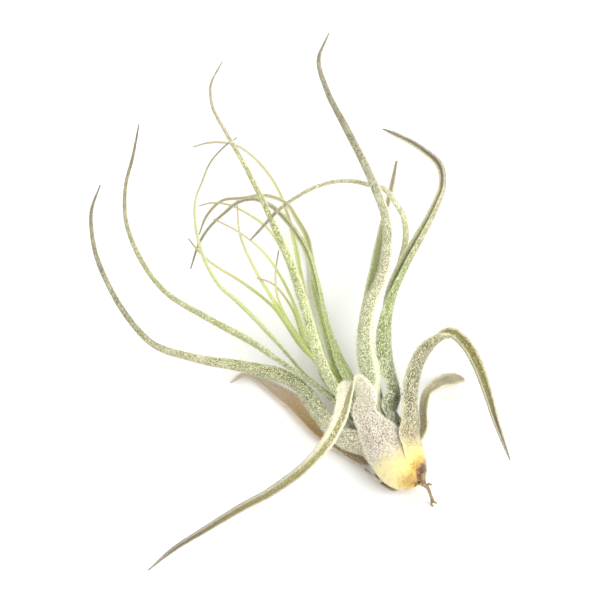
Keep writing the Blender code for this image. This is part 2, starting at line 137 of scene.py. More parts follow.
class Graph:
    """The node graph of one material, grown with short calls."""

    def __init__(self, name: str) -> None:
        """Start a material with its own shader.

        Args:
            name: The material's name.
        """
        self.material = bpy.data.materials.new(name)
        self.material.use_nodes = True
        self.nodes = self.material.node_tree.nodes
        self.links = self.material.node_tree.links
        self.shader = self.nodes["Principled BSDF"]

    def feed(self, socket: Socket, value: Value) -> None:
        """Set a socket's value or link another socket to it.

        Args:
            socket: The socket that is fed.
            value: What it gets.
        """
        if isinstance(value, Socket):
            self.links.new(value, socket)
        else:
            socket.default_value = value

    def node(self, kind: str, inputs: dict[int | str, Value], **settings: str) -> bpy.types.Node:
        """Add a node.

        Args:
            kind: The node's type.
            inputs: A value or a socket for each named or numbered input.
            **settings: The node's own properties.

        Returns:
            The node.
        """
        made = self.nodes.new(kind)
        for key, value in settings.items():
            setattr(made, key, value)
        for key, value in inputs.items():
            self.feed(made.inputs[key], value)
        return made

    def field(self, name: str, output: str = "Fac") -> Socket:
        """Read one of the piece's own attributes."""
        return self.node("ShaderNodeAttribute", {}, attribute_name=name).outputs[output]

    def place(self) -> Socket:
        """Read where the surface is, in metres."""
        return self.node("ShaderNodeTexCoord", {}).outputs["Object"]

    def math(self, operation: str, first: Value, second: Value = 0.0) -> Socket:
        """Work out one sum."""
        return self.node("ShaderNodeMath", {0: first, 1: second}, operation=operation).outputs[0]

    def reach(self, place: Socket, spot: Vector) -> Socket:
        """Measure the metres from a spot that is given in millimetres."""
        return self.node("ShaderNodeVectorMath", {0: place, 1: spot * MM},
                         operation="DISTANCE").outputs["Value"]

    def stretched(self, vector: Socket, scale: Triple) -> Socket:
        """Scale a pattern's coordinates."""
        return self.node("ShaderNodeMapping", {"Vector": vector, "Scale": scale}).outputs[0]

    def speckle(self, vector: Socket, scale: float, detail: float = 3.0) -> Socket:
        """Add noise of 0 to 1."""
        return self.node("ShaderNodeTexNoise", {"Vector": vector, "Scale": scale, "Detail": detail,
                                                "Roughness": 0.6}).outputs["Fac"]

    def streaks(self, vector: Socket, scale: Triple, detail: float = 3.0) -> Socket:
        """Add noise of 0 to 1 that is scaled by its own amount in each direction."""
        return self.speckle(self.stretched(vector, scale), 1.0, detail)

    def span(self, value: Value, low: float, high: float, start: float = 0.0, end: float = 1.0) -> Socket:
        """Map a range of values to another one, clamped."""
        return self.node("ShaderNodeMapRange", {"Value": value, "From Min": low, "From Max": high,
                                                "To Min": start, "To Max": end}).outputs[0]

    def fade(self, reach: Socket, band: Band, most: float = 1.0) -> Socket:
        """Fall from the most to 0 over a band of distances that is given in millimetres."""
        return self.span(reach, band[0] * MM, band[1] * MM, most, 0.0)

    def mix(self, share: Value, first: Value, second: Value, blend: str = "MIX") -> Socket:
        """Blend two colours.

        Args:
            share: How much the second colour counts, from 0 to 1.
            first: The colour below.
            second: The colour that is laid over it.
            blend: How it is laid over it.

        Returns:
            The blended colour.
        """
        made = self.node("ShaderNodeMix", {0: share}, data_type="RGBA", blend_type=blend)
        self.feed(made.inputs[6], first)
        self.feed(made.inputs[7], second)
        return made.outputs[2]

    def ramp(self, place: Value, stops: Stops) -> Socket:
        """Run a value through a row of colours.

        Args:
            place: The value, from 0 to 1.
            stops: The colours, each with the value at which it stands.

        Returns:
            The colour at the value.
        """
        made = self.node("ShaderNodeValToRGB", {0: place})
        band = made.color_ramp
        while len(band.elements) < len(stops):
            band.elements.new(0.5)
        for element, (position, colour) in zip(band.elements, stops):
            element.position = position
            element.color = paint(colour)
        return made.outputs[0]

    def coat(self, colour: Socket, roughness: Value) -> None:
        """Feed the shader's colour and roughness."""
        self.feed(self.shader.inputs["Base Color"], colour)
        self.feed(self.shader.inputs["Roughness"], roughness)

    def relief(self, height: Socket, distance: float, strength: float) -> None:
        """Press a height into the shader's normal."""
        bump = self.node("ShaderNodeBump", {"Height": height, "Distance": distance, "Strength": strength})
        self.feed(self.shader.inputs["Normal"], bump.outputs[0])

    def constants(self, **values: float | tuple[float, ...]) -> None:
        """Set numbers and colours that are the same all over the surface."""
        for key, value in values.items():
            self.shader.inputs[key.replace("_", " ")].default_value = value


@dataclass(frozen=True)
class Bulb:
    """The egg shape that the sheaths wrap, with its long axis rising a little away from the roots.

    Lengths are in millimetres. layer_pitch is how much deeper each sheath lies than the one over it.
    """

    middle: Vector = Vector((-4.0, 1.3, 9.8)).freeze()
    axis: Vector = Vector((-0.531, 0.822, 0.205)).normalized().freeze()
    radius: float = 9.8
    root_length: float = 17.5
    neck_length: float = 42.0
    layer_pitch: float = 1.1

    def round(self, angle: float) -> Vector:
        """Give a direction away from the axis.

        Args:
            angle: Degrees round the axis from its top, positive to the right.

        Returns:
            The direction.
        """
        top = (Vector((0, 0, 1)) - self.axis * self.axis.z).normalized()
        turn = math.radians(angle)
        return top * math.cos(turn) + self.axis.cross(top) * math.sin(turn)

    def profile(self, layer: float, along: float) -> tuple[float, float]:
        """Measure a sheath layer at one distance along the axis.

        Args:
            layer: 0 for the outermost sheath.
            along: Millimetres from the bulb's middle, positive toward the neck.

        Returns:
            The layer's radius and its outward slope.
        """
        depth = layer * self.layer_pitch
        length = (self.root_length - depth) if along < 0 else self.neck_length
        radius = (self.radius - depth) * math.sqrt(1 - (along / length) ** 2)
        slope = -((self.radius - depth) / length) ** 2 * along / radius
        return radius, slope


@dataclass(frozen=True)
class Station:
    """One cross-section of a leaf: an arc about a centre, closed toward the inside of the leaf."""

    centre: Vector
    back: Vector
    side: Vector
    axis: Vector
    slope: float
    radius: float
    half_angle: float
    thickness: float

    def point(self, across: float, inside: bool) -> Vector:
        """Place one point of the section.

        Args:
            across: -1 at the left margin to 1 at the right margin.
            inside: Whether the point is on the face toward the channel.

        Returns:
            The point in millimetres.
        """
        turn = self.half_angle * across
        away = self.back * math.cos(turn) + self.side * math.sin(turn)
        normal = (away - self.axis * self.slope).normalized()
        thickness = self.thickness * math.sqrt(max(0.0, 1 - across ** 4)) if inside else 0.0
        return self.centre + away * self.radius - normal * thickness


@dataclass(frozen=True)
class Surface:
    """The points of a leaf's skin: rows from collar to tip, columns round the closed section."""

    points: np.ndarray
    along: np.ndarray
    across: np.ndarray
    inside: np.ndarray
    grain: np.ndarray

    def spot(self, field: np.ndarray, row: np.ndarray, column: np.ndarray) -> np.ndarray:
        """Read a field between its rows and columns.

        Args:
            field: One of the surface's arrays.
            row: Fractional rows.
            column: Fractional columns.

        Returns:
            The field's values there.
        """
        low = np.minimum(row.astype(int), field.shape[0] - 2)
        left = np.minimum(column.astype(int), field.shape[1] - 2)
        up, right = row - low, column - left
        if field.ndim == 3:
            up, right = up[:, None], right[:, None]
        return ((field[low, left] * (1 - right) + field[low, left + 1] * right) * (1 - up)
                + (field[low + 1, left] * (1 - right) + field[low + 1, left + 1] * right) * up)


def skin_mesh(name: str, surface: Surface, node: str) -> bpy.types.Object:
    """Bend a grid into a closed skin.

    Args:
        name: The piece's name.
        surface: Where each of the grid's points goes.
        node: The CAD node that the piece stands for.

    Returns:
        The finished object, still without its material.
    """
    rows, columns = surface.along.shape
    mesh = bmesh.new()
    bmesh.ops.create_grid(mesh, x_segments=columns - 1, y_segments=rows - 1, size=0.5)
    mesh.verts.ensure_lookup_table()
    fields = {"along": surface.along, "across": surface.across, "inside": surface.inside}
    layers = {key: mesh.verts.layers.float.new(key) for key in fields}
    grain = mesh.verts.layers.float_vector.new("grain")
    for index, vert in enumerate(mesh.verts):
        row, column = divmod(index, columns)
        vert.co = Vector(surface.points[row, column])
        vert[grain] = Vector(surface.grain[row, column])
        for key, layer in layers.items():
            vert[layer] = float(fields[key][row, column])
    bmesh.ops.remove_doubles(mesh, verts=mesh.verts, dist=WELD * MM)
    bmesh.ops.holes_fill(mesh, edges=[edge for edge in mesh.edges if edge.is_boundary])
    bmesh.ops.recalc_face_normals(mesh, faces=mesh.faces)
    return finished(name, mesh, node)


def finished(name: str, mesh: bmesh.types.BMesh, node: str | None = None) -> bpy.types.Object:
    """Turn a bmesh into a smooth piece that rides on the plant.

    Args:
        name: The piece's name.
        mesh: Its shape in metres.
        node: The CAD node that it stands for, if any.

    Returns:
        The object.
    """
    data = bpy.data.meshes.new(name)
    mesh.to_mesh(data)
    mesh.free()
    data.shade_smooth()
    item = bpy.data.objects.new(name, data)
    bpy.context.scene.collection.objects.link(item)
    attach(item, BODY)
    if node:
        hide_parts(node)
    LOG.info("%s: %d faces", name, len(data.polygons))
    return item


@dataclass(frozen=True)
class RootEnd:
    """The bald yellow root end of the bulb, with the brown scar where it was picked on its right.

    Spots and lengths are in millimetres. hem is where the edges of old sheaths fray beside the scar. A fade
    is how far from its spot a colour starts to give way and how far from it nothing of it is left, and
    ruffle and ragged are how far its edge wanders. A share is how much of the colour there is at most.
    """

    centre: Vector = Vector((6.5, -9.5, 6.5)).freeze()
    scar: Vector = Vector((9.0, -6.6, 11.4)).freeze()
    torn: Vector = Vector((8.8, -8.6, 8.9)).freeze()
    hem: Vector = Vector((5.2, -10.2, 10.4)).freeze()
    bald_fade: Band = (11.8, 16.2)
    butter_fade: Band = (3.5, 10.0)
    scar_fade: Band = (2.4, 5.4)
    hem_fade: Band = (1.4, 5.0)
    scar_core_fade: Band = (1.4, 3.1)
    scar_share: float = 0.9
    hem_share: float = 0.75
    scar_core_share: float = 0.95
    streak_share: float = 0.25
    ruffle: float = 2.8
    ruffle_scale: float = 200.0
    ragged: float = 1.6
    streak_scale: Triple = (900.0, 900.0, 260.0)
    butter: Colour = (232, 210, 108)
    cream: Colour = (226, 214, 158)
    fibre: Colour = (166, 116, 62)
    # The darkest brown, at the core of the scar.
    scar_core: Colour = (78, 48, 28)

    def silver_share(self, places: np.ndarray) -> np.ndarray:
        """Tell how thickly scales still stand on the bulb, from 0 on the bald end to 1.

        Args:
            places: Where the scales stand, in metres.

        Returns:
            The share of them that is left at each place.
        """
        near, far = self.bald_fade
        reach = np.linalg.norm(places - np.array(self.centre) * MM, axis=-1) / MM
        return np.clip((reach - near) / (far - near), 0, 1)

    def tint(self, graph: Graph, colour: Socket) -> tuple[Socket, Socket]:
        """Lay the yellow end and the scar over a colour.

        Args:
            graph: The material.
            colour: Its colour away from the root end.

        Returns:
            The new colour and how bald the surface is, from 0 to 1.
        """
        place = graph.place()
        ruffle = graph.span(graph.speckle(place, self.ruffle_scale, 5.0), 0.25, 0.75,
                            -self.ruffle * MM, self.ruffle * MM)
        streaks = graph.streaks(place, self.streak_scale, 5.0)
        ragged = graph.span(streaks, 0.3, 0.7, -self.ragged * MM, self.ragged * MM)
        bald = graph.fade(graph.math("ADD", graph.reach(place, self.centre), ruffle), self.bald_fade)
        scar = graph.math("MINIMUM", graph.reach(place, self.scar), graph.reach(place, self.torn))
        scar = graph.math("ADD", scar, ragged)
        hem = graph.math("ADD", graph.reach(place, self.hem), ragged)
        pale = graph.mix(graph.fade(scar, self.butter_fade), paint(self.cream), paint(self.butter))
        pale = graph.mix(graph.span(streaks, 0.5, 0.75, 0.0, self.streak_share), pale, paint(self.fibre))
        colour = graph.mix(bald, colour, pale)
        fibrous = graph.math("MAXIMUM", graph.fade(scar, self.scar_fade, self.scar_share),
                             graph.fade(hem, self.hem_fade, self.hem_share))
        colour = graph.mix(fibrous, colour, paint(self.fibre))
        # The scar is darkest at its core.
        colour = graph.mix(graph.fade(scar, self.scar_core_fade, self.scar_core_share), colour, paint(self.scar_core))
        return colour, bald


@dataclass(frozen=True)
class LeafFinish:
    """How one leaf is coloured from its collar to its tip, and how silvery it is.

    skin is the colour under the silver and channel the green that shows through it. cover is how much of
    the skin the silver hides, and coat is how many loose scales there are on a square millimetre. contrast
    is how much painted shade darkens the bare specks in the gaps between the scales, and inner is the share
    of it that is left in the channel. stripe is where the bare green stripe lies across the channel, from -1
    at the left margin to 1 at the right one.
    flank is a place across the leaf and how far from it the skin starts to turn cream, and turning is how
    much farther out it is wholly so. The cream is partly the denser scales near the margins and partly a
    painted highlight, where the flanks face the key light and turn edge-on to the view. fade is how far
    along the silver starts to thin and what share of it is left at the tip.
    """

    skin: Stops
    channel: Colour
    scales: Colour = (248, 245, 210)
    cover: float = 0.55
    coat: float = 7.0
    contrast: float = 0.45
    inner: float = 1.0
    stripe: Band = (-0.62, 0.62)
    flank: Band = (0.0, 0.78)
    fade: Band = (0.8, 0.35)
    dried: bool = False
    turning: float = 0.3

    def cream(self, graph: Graph) -> Socket:
        """Tell how far the skin has turned cream across the leaf: partly denser scales, partly painted
        highlight.

        Args:
            graph: The material.

        Returns:
            The share of cream, from 0 to 1.
        """
        middle, reach = self.flank
        away = graph.math("ABSOLUTE", graph.math("SUBTRACT", graph.field("across"), middle))
        return graph.span(away, reach, reach + self.turning)

    def silver_left(self, graph: Graph) -> Socket:
        """Tell how much of the silver is left along the leaf, from 0 to 1."""
        start, share = self.fade
        return graph.span(graph.field("along"), start, 1.0, 1.0, share)


@dataclass(frozen=True)
class Sway:
    """The small irregularities of one leaf, which its name settles.

    run is the millimetres over which they change. reach is how far the leaf strays, and swell is the share
    by which its section grows and shrinks, a swell_phase away from the straying. The grain of each leaf is
    drawn at one of so many grains, and that of its two faces inner_grain apart.
    """

    name: str
    run: float = 9.0
    reach: float = 0.12
    swell: float = 0.05
    swell_phase: float = 7.0
    inner_grain: float = 4.0
    grains: int = 97

    @property
    def seed(self) -> int:
        """Turn the name into a number."""
        return sum(ord(letter) * (i + 3) for i, letter in enumerate(self.name))

    def at(self, distance: float) -> tuple[Vector, float]:
        """Give the irregularities at one distance along the leaf.

        Args:
            distance: Millimetres from the collar.

        Returns:
            How far the section strays, in millimetres, and by what factor it swells.
        """
        drift = Vector((distance / self.run, self.seed, 0))
        shift = noise.noise_vector(drift) * self.reach
        return shift, 1 + self.swell * noise.noise(drift + Vector((0, 0, self.swell_phase)))

    def depth(self, across: float, inside: bool) -> float:
        """Set the grain of a leaf apart from other leaves' and from that of its other face."""
        return self.seed % self.grains + (self.inner_grain * (1 - abs(across) ** 3) if inside else 0.0)


def skin_surface(stations: list[Station], half_columns: int, name: str) -> Surface:
    """Join cross-sections into one closed skin with the fields that its finish follows.

    Args:
        stations: The cross-sections from the root end to the tip.
        half_columns: How many faces the outer side has across.
        name: The leaf's name, which settles its small irregularities.

    Returns:
        The surface in metres, with its grain in millimetres.
    """
    sway = Sway(name)
    turns = [math.sin(math.pi / 2 * (2 * i / half_columns - 1)) for i in range(half_columns + 1)]
    section = [(turn, False) for turn in turns] + [(turn, True) for turn in turns[-2::-1]]
    reach = [0.0]
    for before, after in zip(stations, stations[1:]):
        reach.append(reach[-1] + max(0.01, (after.point(0, False) - before.point(0, False)).length))
    points, grain = [], []
    for station, distance in zip(stations, reach):
        shift, swell = sway.at(distance)
        row, grain_row = [], []
        for across, inside in section:
            place = station.centre + (station.point(across, inside) - station.centre) * swell + shift
            row.append(settle(place))
            spread = across * station.half_angle * station.radius
            grain_row.append((spread, distance, sway.depth(across, inside)))
        points.append(row)
        grain.append(grain_row)
    rows = len(stations)
    across = np.tile([turn for turn, _ in section], (rows, 1))
    edge = np.clip(1 - np.abs(across) ** 3, 0, 1)
    inside = np.tile([1.0 if inner else 0.0 for _, inner in section], (rows, 1)) * edge
    along = np.tile(np.array(reach)[:, None] / reach[-1], (1, len(section)))
    return Surface(np.array(points), along, across, inside, np.array(grain))


@dataclass(frozen=True)
class Leaf:
    """One leaf: where its sheath sits round the bulb and the route that its blade takes.

    layer is 0 for the outermost sheath. facing and wrap are degrees round the bulb, from its top and
    positive to the right. parts_at is how far past the bulb's middle the blade leaves it. roll is half
    the angle of the channelled blade's arc. route holds x, y, z and the width seen across the blade.
    twist is how many degrees the blade turns about its own length, from twist_start to twist_end of it.
    collar is the sheath's radius at its root end. root_layer is the depth to which the root end settles,
    which presses the seams between the sheaths shut there. It starts to settle at settle_start along the
    bulb and is there after settle_span more toward the roots. The sheath narrows from narrowing_start of
    its length on. The blade's arc changes from roll_start on, over a run of roll_span stops. exit_flare is
    how much wider than its first stop the blade leaves the bulb, and widest_exit limits the sine of half
    its arc there. thinnest_core is the share of a narrow blade's radius that its channel keeps open.
    """

    name: str
    slot: Slot
    layer: float
    facing: float
    wrap: float
    parts_at: float
    roll: float
    route: Route
    finish: LeafFinish
    twist: float = 0.0
    twist_start: float = 0.0
    twist_end: float = 1.0
    collar: float = 3.3
    root_layer: float | None = None
    bulb: Bulb = Bulb()
    sheath_thickness: float = 0.72
    blade_thickness: float = 0.66
    thinnest_core: float = 0.12
    narrowing_start: float = 0.35
    roll_start: float = 0.5
    roll_span: float = 3.5
    exit_flare: float = 1.25
    widest_exit: float = 0.95
    half_columns: int = 14
    collar_rows: int = 16
    neck_step: float = 1.0
    rows_per_stretch: int = 8
    settle_start: float = -4.0
    settle_span: float = 5.5

    def settled(self, along: float) -> float:
        """Tell how deep the sheath lies.

        Args:
            along: Millimetres from the bulb's middle, positive toward the neck.

        Returns:
            The depth in layers.
        """
        target = self.layer if self.root_layer is None else self.root_layer
        share = smooth_step((self.settle_start - along) / self.settle_span)
        return self.layer + (target - self.layer) * share

    def sheath_stations(self, exit_angle: float) -> list[Station]:
        """Cross-sections from the collar on the stem to where the blade parts from the bulb.

        Args:
            exit_angle: Half the arc that the sheath has narrowed to there, in radians.

        Returns:
            The stations in order.
        """
        bulb = self.bulb
        length = bulb.root_length - self.layer * bulb.layer_pitch
        start = math.asin(self.collar / (bulb.radius - self.layer * bulb.layer_pitch))
        end = math.acos(max(0.0, -self.parts_at) / length)
        rows = [-length * math.cos(start + (end - start) * i / self.collar_rows)
                for i in range(self.collar_rows + 1)]
        neck = max(0, math.ceil(self.parts_at / self.neck_step))
        rows += [self.parts_at * (i + 1) / neck for i in range(neck)]
        back, side = bulb.round(self.facing), bulb.round(self.facing + 90)
        wrap = math.radians(self.wrap)
        stations = []
        for along in rows[:-1]:
            travelled = (along - rows[0]) / (rows[-1] - rows[0])
            narrowing = smooth_step((travelled - self.narrowing_start) / (1 - self.narrowing_start))
            radius, slope = bulb.profile(self.settled(along), along)
            half_angle = wrap + (exit_angle - wrap) * narrowing
            stations.append(Station(bulb.middle + bulb.axis * along, back, side, bulb.axis, slope,
                                    radius, half_angle, self.sheath_thickness))
        return stations

    def blade_stations(self, exit_angle: float) -> list[Station]:
        """Cross-sections of the channelled blade, from the bulb to the tip.

        Args:
            exit_angle: Half the arc with which the blade leaves the bulb, in radians.

        Returns:
            The stations in order.
        """
        bulb = self.bulb
        radius, slope = bulb.profile(self.layer, self.parts_at)
        away = bulb.round(self.facing)
        heading = (bulb.axis + away * slope).normalized()
        back = (away - bulb.axis * slope).normalized()
        keel = bulb.middle + bulb.axis * self.parts_at + away * radius
        start = keel - back * radius * (1 - math.cos(exit_angle)) / 2
        points = [start] + [Vector(stop[:3]) for stop in self.route]
        widths = [self.route[0][3] * self.exit_flare] + [stop[3] for stop in self.route]
        roll = math.radians(self.roll)
        stations = []
        turned = 0.0
        for position, heading, place in smooth_path(points, heading, self.rows_per_stretch):
            stop = min(int(place), len(widths) - 2)
            width = widths[stop] + (widths[stop + 1] - widths[stop]) * (place - stop)
            opening = smooth_step((place - self.roll_start) / self.roll_span)
            half_angle = exit_angle + (roll - exit_angle) * opening
            back = (back - heading * back.dot(heading)).normalized()
            travelled = place / (len(points) - 1)
            share = smooth_step((travelled - self.twist_start) / (self.twist_end - self.twist_start))
            turn = math.radians(self.twist) * share - turned
            turned += turn
            back = (back * math.cos(turn) + heading.cross(back) * math.sin(turn)).normalized()
            radius = width / 2 / math.sin(min(half_angle, math.pi / 2))
            centre = position - back * radius * (1 + math.cos(half_angle)) / 2
            thickness = min(self.blade_thickness, radius * (1 - self.thinnest_core))
            stations.append(Station(centre, back, heading.cross(back), heading, 0.0,
                                    radius, half_angle, thickness))
        return stations

    def surface(self) -> Surface:
        """Lay out the points of the leaf's skin with the fields that its finish follows.

        Returns:
            The surface in metres, with its grain in millimetres.
        """
        exit_radius, _ = self.bulb.profile(self.layer, self.parts_at)
        exit_width = self.route[0][3] * self.exit_flare
        exit_angle = math.asin(min(self.widest_exit, exit_width / 2 / exit_radius))
        stations = self.sheath_stations(exit_angle) + self.blade_stations(exit_angle)
        return skin_surface(stations, self.half_columns, self.name)

    def build(self) -> tuple[bpy.types.Object, Surface]:
        """Model the leaf.

        Returns:
            The leaf's object and its surface, on which the scales are laid.
        """
        surface = self.surface()
        return skin_mesh(self.name + "_blade", surface, self.name), surface


@dataclass(frozen=True)
class ScaleCoat:
    """The silvery scales of one leaf: loose kites that lie along the skin and lift at their tips.

    Lengths are in millimetres, and a scale's size varies from smallest upward by size_range. lift is how
    steeply the tips stand off and swing how many radians they stray to the side. belly is how far along a
    kite it is broadest. The size falls off along the leaf from root_size, and never below tip_size. The
    channel holds inner_share of what the outer side does. The fringe is the share of the scales that stand
    on the margins, slimmer and steeper, on the first part of a face across.
    """

    leaf: str
    slot: Slot
    per_square_mm: float
    length: float = 0.66
    width: float = 0.17
    belly: float = 0.45
    smallest: float = 0.6
    size_range: float = 0.8
    root_size: float = 1.3
    tip_size: float = 0.55
    lift: float = 0.75
    least_lift: float = 0.4
    swing: float = 0.35
    clearance: float = 0.02
    inner_from: float = 0.3
    inner_share: float = 0.5
    fringe_share: float = 0.2
    fringe_length: float = 0.85
    fringe_slimness: float = 0.4
    fringe_lift: float = 0.25
    fringe_across: float = 0.4
    most: int = 40000

    def build(self, surface: Surface) -> bpy.types.Object:
        """Scatter the scales over a surface.

        Args:
            surface: The skin that they sit on.

        Returns:
            The scales as one object.
        """
        rng = np.random.default_rng(sum(map(ord, self.leaf)))
        points = surface.points
        down = points[1:, :-1] - points[:-1, :-1]
        over = points[:-1, 1:] - points[:-1, :-1]
        faces = np.cross(over, down)
        row, column, fringe = self.scatter(rng, surface, np.linalg.norm(faces, axis=2))
        count = len(row)
        across = rng.random(count) * np.where(fringe, self.fringe_across, 1.0)
        row_spot, column_spot = row + rng.random(count), column + across
        fields = {key: surface.spot(values, row_spot, column_spot)
                  for key, values in (("along", surface.along), ("across", surface.across))}
        base = surface.spot(points, row_spot, column_spot)
        normal = unit(faces[row, column]) * self.outward_sign(points, faces)
        ahead = unit(down[row, column])
        aside = np.cross(normal, ahead)
        tilt = self.lift * (self.least_lift + rng.random(count)) + np.where(fringe, self.fringe_lift, 0)
        swing = rng.normal(0, self.swing, count)
        point = unit(ahead * np.cos(swing)[:, None] + aside * np.sin(swing)[:, None])
        point = unit(point + normal * tilt[:, None])
        flank = unit(np.cross(normal, point))
        size = (self.smallest + self.size_range * rng.random(count)) * MM
        size = size * np.clip(self.root_size - fields["along"], self.tip_size, 1)
        reach = point * (size * np.where(fringe, self.fringe_length, self.length))[:, None]
        broad = flank * (size * np.where(fringe, self.width * self.fringe_slimness, self.width) / 2)[:, None]
        root = base + normal * self.clearance * MM
        belly = root + reach * self.belly
        corners = np.stack([root, belly - broad, root + reach, belly + broad], 1)
        corners[:, :, 2] = np.maximum(corners[:, :, 2], self.clearance * MM)
        fields["tone"] = rng.random(count)
        kept = rng.random(count) < RootEnd().silver_share(base)
        return self.sheet(corners[kept], {key: values[kept] for key, values in fields.items()})

    def scatter(self, rng: np.random.Generator, surface: Surface,
                area: np.ndarray) -> tuple[np.ndarray, np.ndarray, np.ndarray]:
        """Pick the faces on which the scales stand.

        Args:
            rng: The draws.
            surface: The skin.
            area: The area of each of its faces, in square metres.

        Returns:
            Each scale's row and column, and whether it is part of the fringe.
        """
        area = area * np.where(surface.inside[:-1, :-1] > self.inner_from, self.inner_share, 1.0)
        count = int(min(self.most, area.sum() / MM ** 2 * self.per_square_mm))
        picked = rng.choice(area.size, size=count, p=(area / area.sum()).ravel())
        row, column = np.divmod(picked, area.shape[1])
        fringe = rng.random(count) < self.fringe_share
        margins = np.array([0, area.shape[1] // 2, area.shape[1] - 1])
        column = np.where(fringe, margins[rng.integers(0, len(margins), count)], column)
        return row, column, fringe

    @staticmethod
    def outward_sign(points: np.ndarray, faces: np.ndarray) -> float:
        """Tell whether the grid's face vectors point out of the leaf.

        Args:
            points: The skin's points.
            faces: One vector for each of its faces.

        Returns:
            1 where they do and -1 where they point inward.
        """
        keel = points.shape[1] // 4
        inner = points.shape[1] - 1 - keel
        outside = points[:-1, keel] - points[:-1, inner]
        return float(np.sign((outside * faces[:, keel]).sum(1).mean()))

    def sheet(self, corners: np.ndarray, fields: dict[str, np.ndarray]) -> bpy.types.Object:
        """Cut a strip of squares apart and move each onto its kite.

        Args:
            corners: Four corners for each kite, in metres.
            fields: One value for each kite and attribute.

        Returns:
            The finished object.
        """
        mesh = bmesh.new()
        bmesh.ops.create_grid(mesh, x_segments=len(corners), y_segments=1, size=0.5)
        bmesh.ops.split_edges(mesh, edges=mesh.edges)
        item = finished(self.leaf + "_scales", mesh)
        data = item.data
        order = np.empty(len(data.loops), int)
        data.loops.foreach_get("vertex_index", order)
        places = np.empty((len(data.vertices), 3))
        places[order] = corners.reshape(-1, 3)
        data.vertices.foreach_set("co", places.ravel())
        for key, values in fields.items():
            spread = np.empty(len(data.vertices))
            spread[order] = np.repeat(values, 4)
            data.attributes.new(key, "FLOAT", "POINT").data.foreach_set("value", spread)
        data.update()
        return item


@dataclass(frozen=True)
class Tube:
    """A round tapering strand with a slightly knobbly skin, which its name settles."""

    name: str
    sides: int
    knobs: float = 0.1
    knob_run: float = 3.0

    def surface(self, samples: list[Vector], widths: list[float]) -> Surface:
        """Lay out the strand.

        Args:
            samples: Points along it, in millimetres.
            widths: Its width at each of them.

        Returns:
            The surface in metres, with its grain in millimetres.
        """
        seed = sum(map(ord, self.name))
        reach = np.concatenate([[0.0], np.cumsum([(b - a).length for a, b in zip(samples, samples[1:])])])
        back = Vector((0, 0, 1))
        points, grain = [], []
        for i, (middle, width) in enumerate(zip(samples, widths)):
            heading = (samples[min(i + 1, len(samples) - 1)] - samples[max(i - 1, 0)]).normalized()
            back = (back - heading * back.dot(heading)).normalized()
            side = heading.cross(back)
            row, grain_row = [], []
            for k in range(self.sides + 1):
                turn = math.tau * k / self.sides
                up, right = math.cos(turn), math.sin(turn)
                knob = noise.noise(Vector((up, right, reach[i] / self.knob_run + seed)))
                away = back * up + side * right
                row.append(settle(middle + away * (width / 2) * (1 + self.knobs * knob)))
                grain_row.append((up * width / 2, reach[i], right * width / 2))
            points.append(row)
            grain.append(grain_row)
        shape = (len(samples), self.sides + 1)
        along = np.tile((reach / reach[-1])[:, None], (1, shape[1]))
        return Surface(np.array(points), along, np.zeros(shape), np.zeros(shape), np.array(grain))


@dataclass(frozen=True)
class Heart:
    """The growing tip: a slim core with the youngest, thread-like leaves rising out of it.

    core_spans are millimetres along the bulb's axis from its middle, with the core's width at each. The
    young leaves stand at the seat round the core, each a turn of so many degrees past the last one. roll
    is half the angle of their channel's arc, and thickest is the share of its radius that is filled.
    """

    routes: list[tuple[float, Route]]
    core_name: str = "heart_core"
    core_spans: tuple[float, ...] = (-5.9, -3.4, 0.0, 6.0, 11.0, 15.0)
    core_widths: tuple[float, ...] = (4.16, 5.2, 5.2, 4.94, 3.9, 2.08)
    core_rows: int = 24
    core_sides: int = 20
    seat_along: float = 8.25
    seat_offset: float = 0.91
    seat_turn: float = 60.0
    roll: float = 115.0
    tip_width: float = 0.45
    taper: float = 1.5
    thread_thickness: float = 0.5
    thickest: float = 0.85
    rows_per_stretch: int = 8
    half_columns: int = 7

    def build(self) -> list[tuple[bpy.types.Object, Surface]]:
        """Model the core and each young leaf.

        Returns:
            Each piece with its surface.
        """
        bulb = Bulb()
        spans = np.linspace(self.core_spans[0], self.core_spans[-1], self.core_rows)
        widths = np.interp(spans, self.core_spans, self.core_widths)
        samples = [bulb.middle + bulb.axis * float(span) for span in spans]
        surfaces = {self.core_name: Tube(self.core_name, self.core_sides).surface(samples, list(widths))}
        seat = bulb.middle + bulb.axis * self.seat_along
        for number, (width, route) in enumerate(self.routes):
            name = f"young_leaf_{number + 1}"
            start = seat + bulb.round(self.seat_turn * number) * self.seat_offset
            surfaces[name] = self.thread(name, [start] + [Vector(stop) for stop in route], width)
        return [(skin_mesh(name, surface, "heart_leaves"), surface)
                for name, surface in surfaces.items()]

    def thread(self, name: str, points: list[Vector], width: float) -> Surface:
        """Sweep the narrow channel of one young leaf.

        Args:
            name: The young leaf's name.
            points: The stops on its route, in millimetres.
            width: Its width at the base.

        Returns:
            Its surface.
        """
        bulb = Bulb()
        samples = smooth_path(points, bulb.axis, self.rows_per_stretch)
        back = bulb.round(0)
        half_angle = math.radians(self.roll)
        stations = []
        for i, (position, heading, _) in enumerate(samples):
            here = width + (self.tip_width - width) * (i / (len(samples) - 1)) ** self.taper
            back = (back - heading * back.dot(heading)).normalized()
            radius = here / 2
            centre = position - back * radius * (1 + math.cos(half_angle)) / 2
            stations.append(Station(centre, back, heading.cross(back), heading, 0.0, radius,
                                    half_angle, min(self.thread_thickness, radius * self.thickest)))
        return skin_surface(stations, self.half_columns, name)


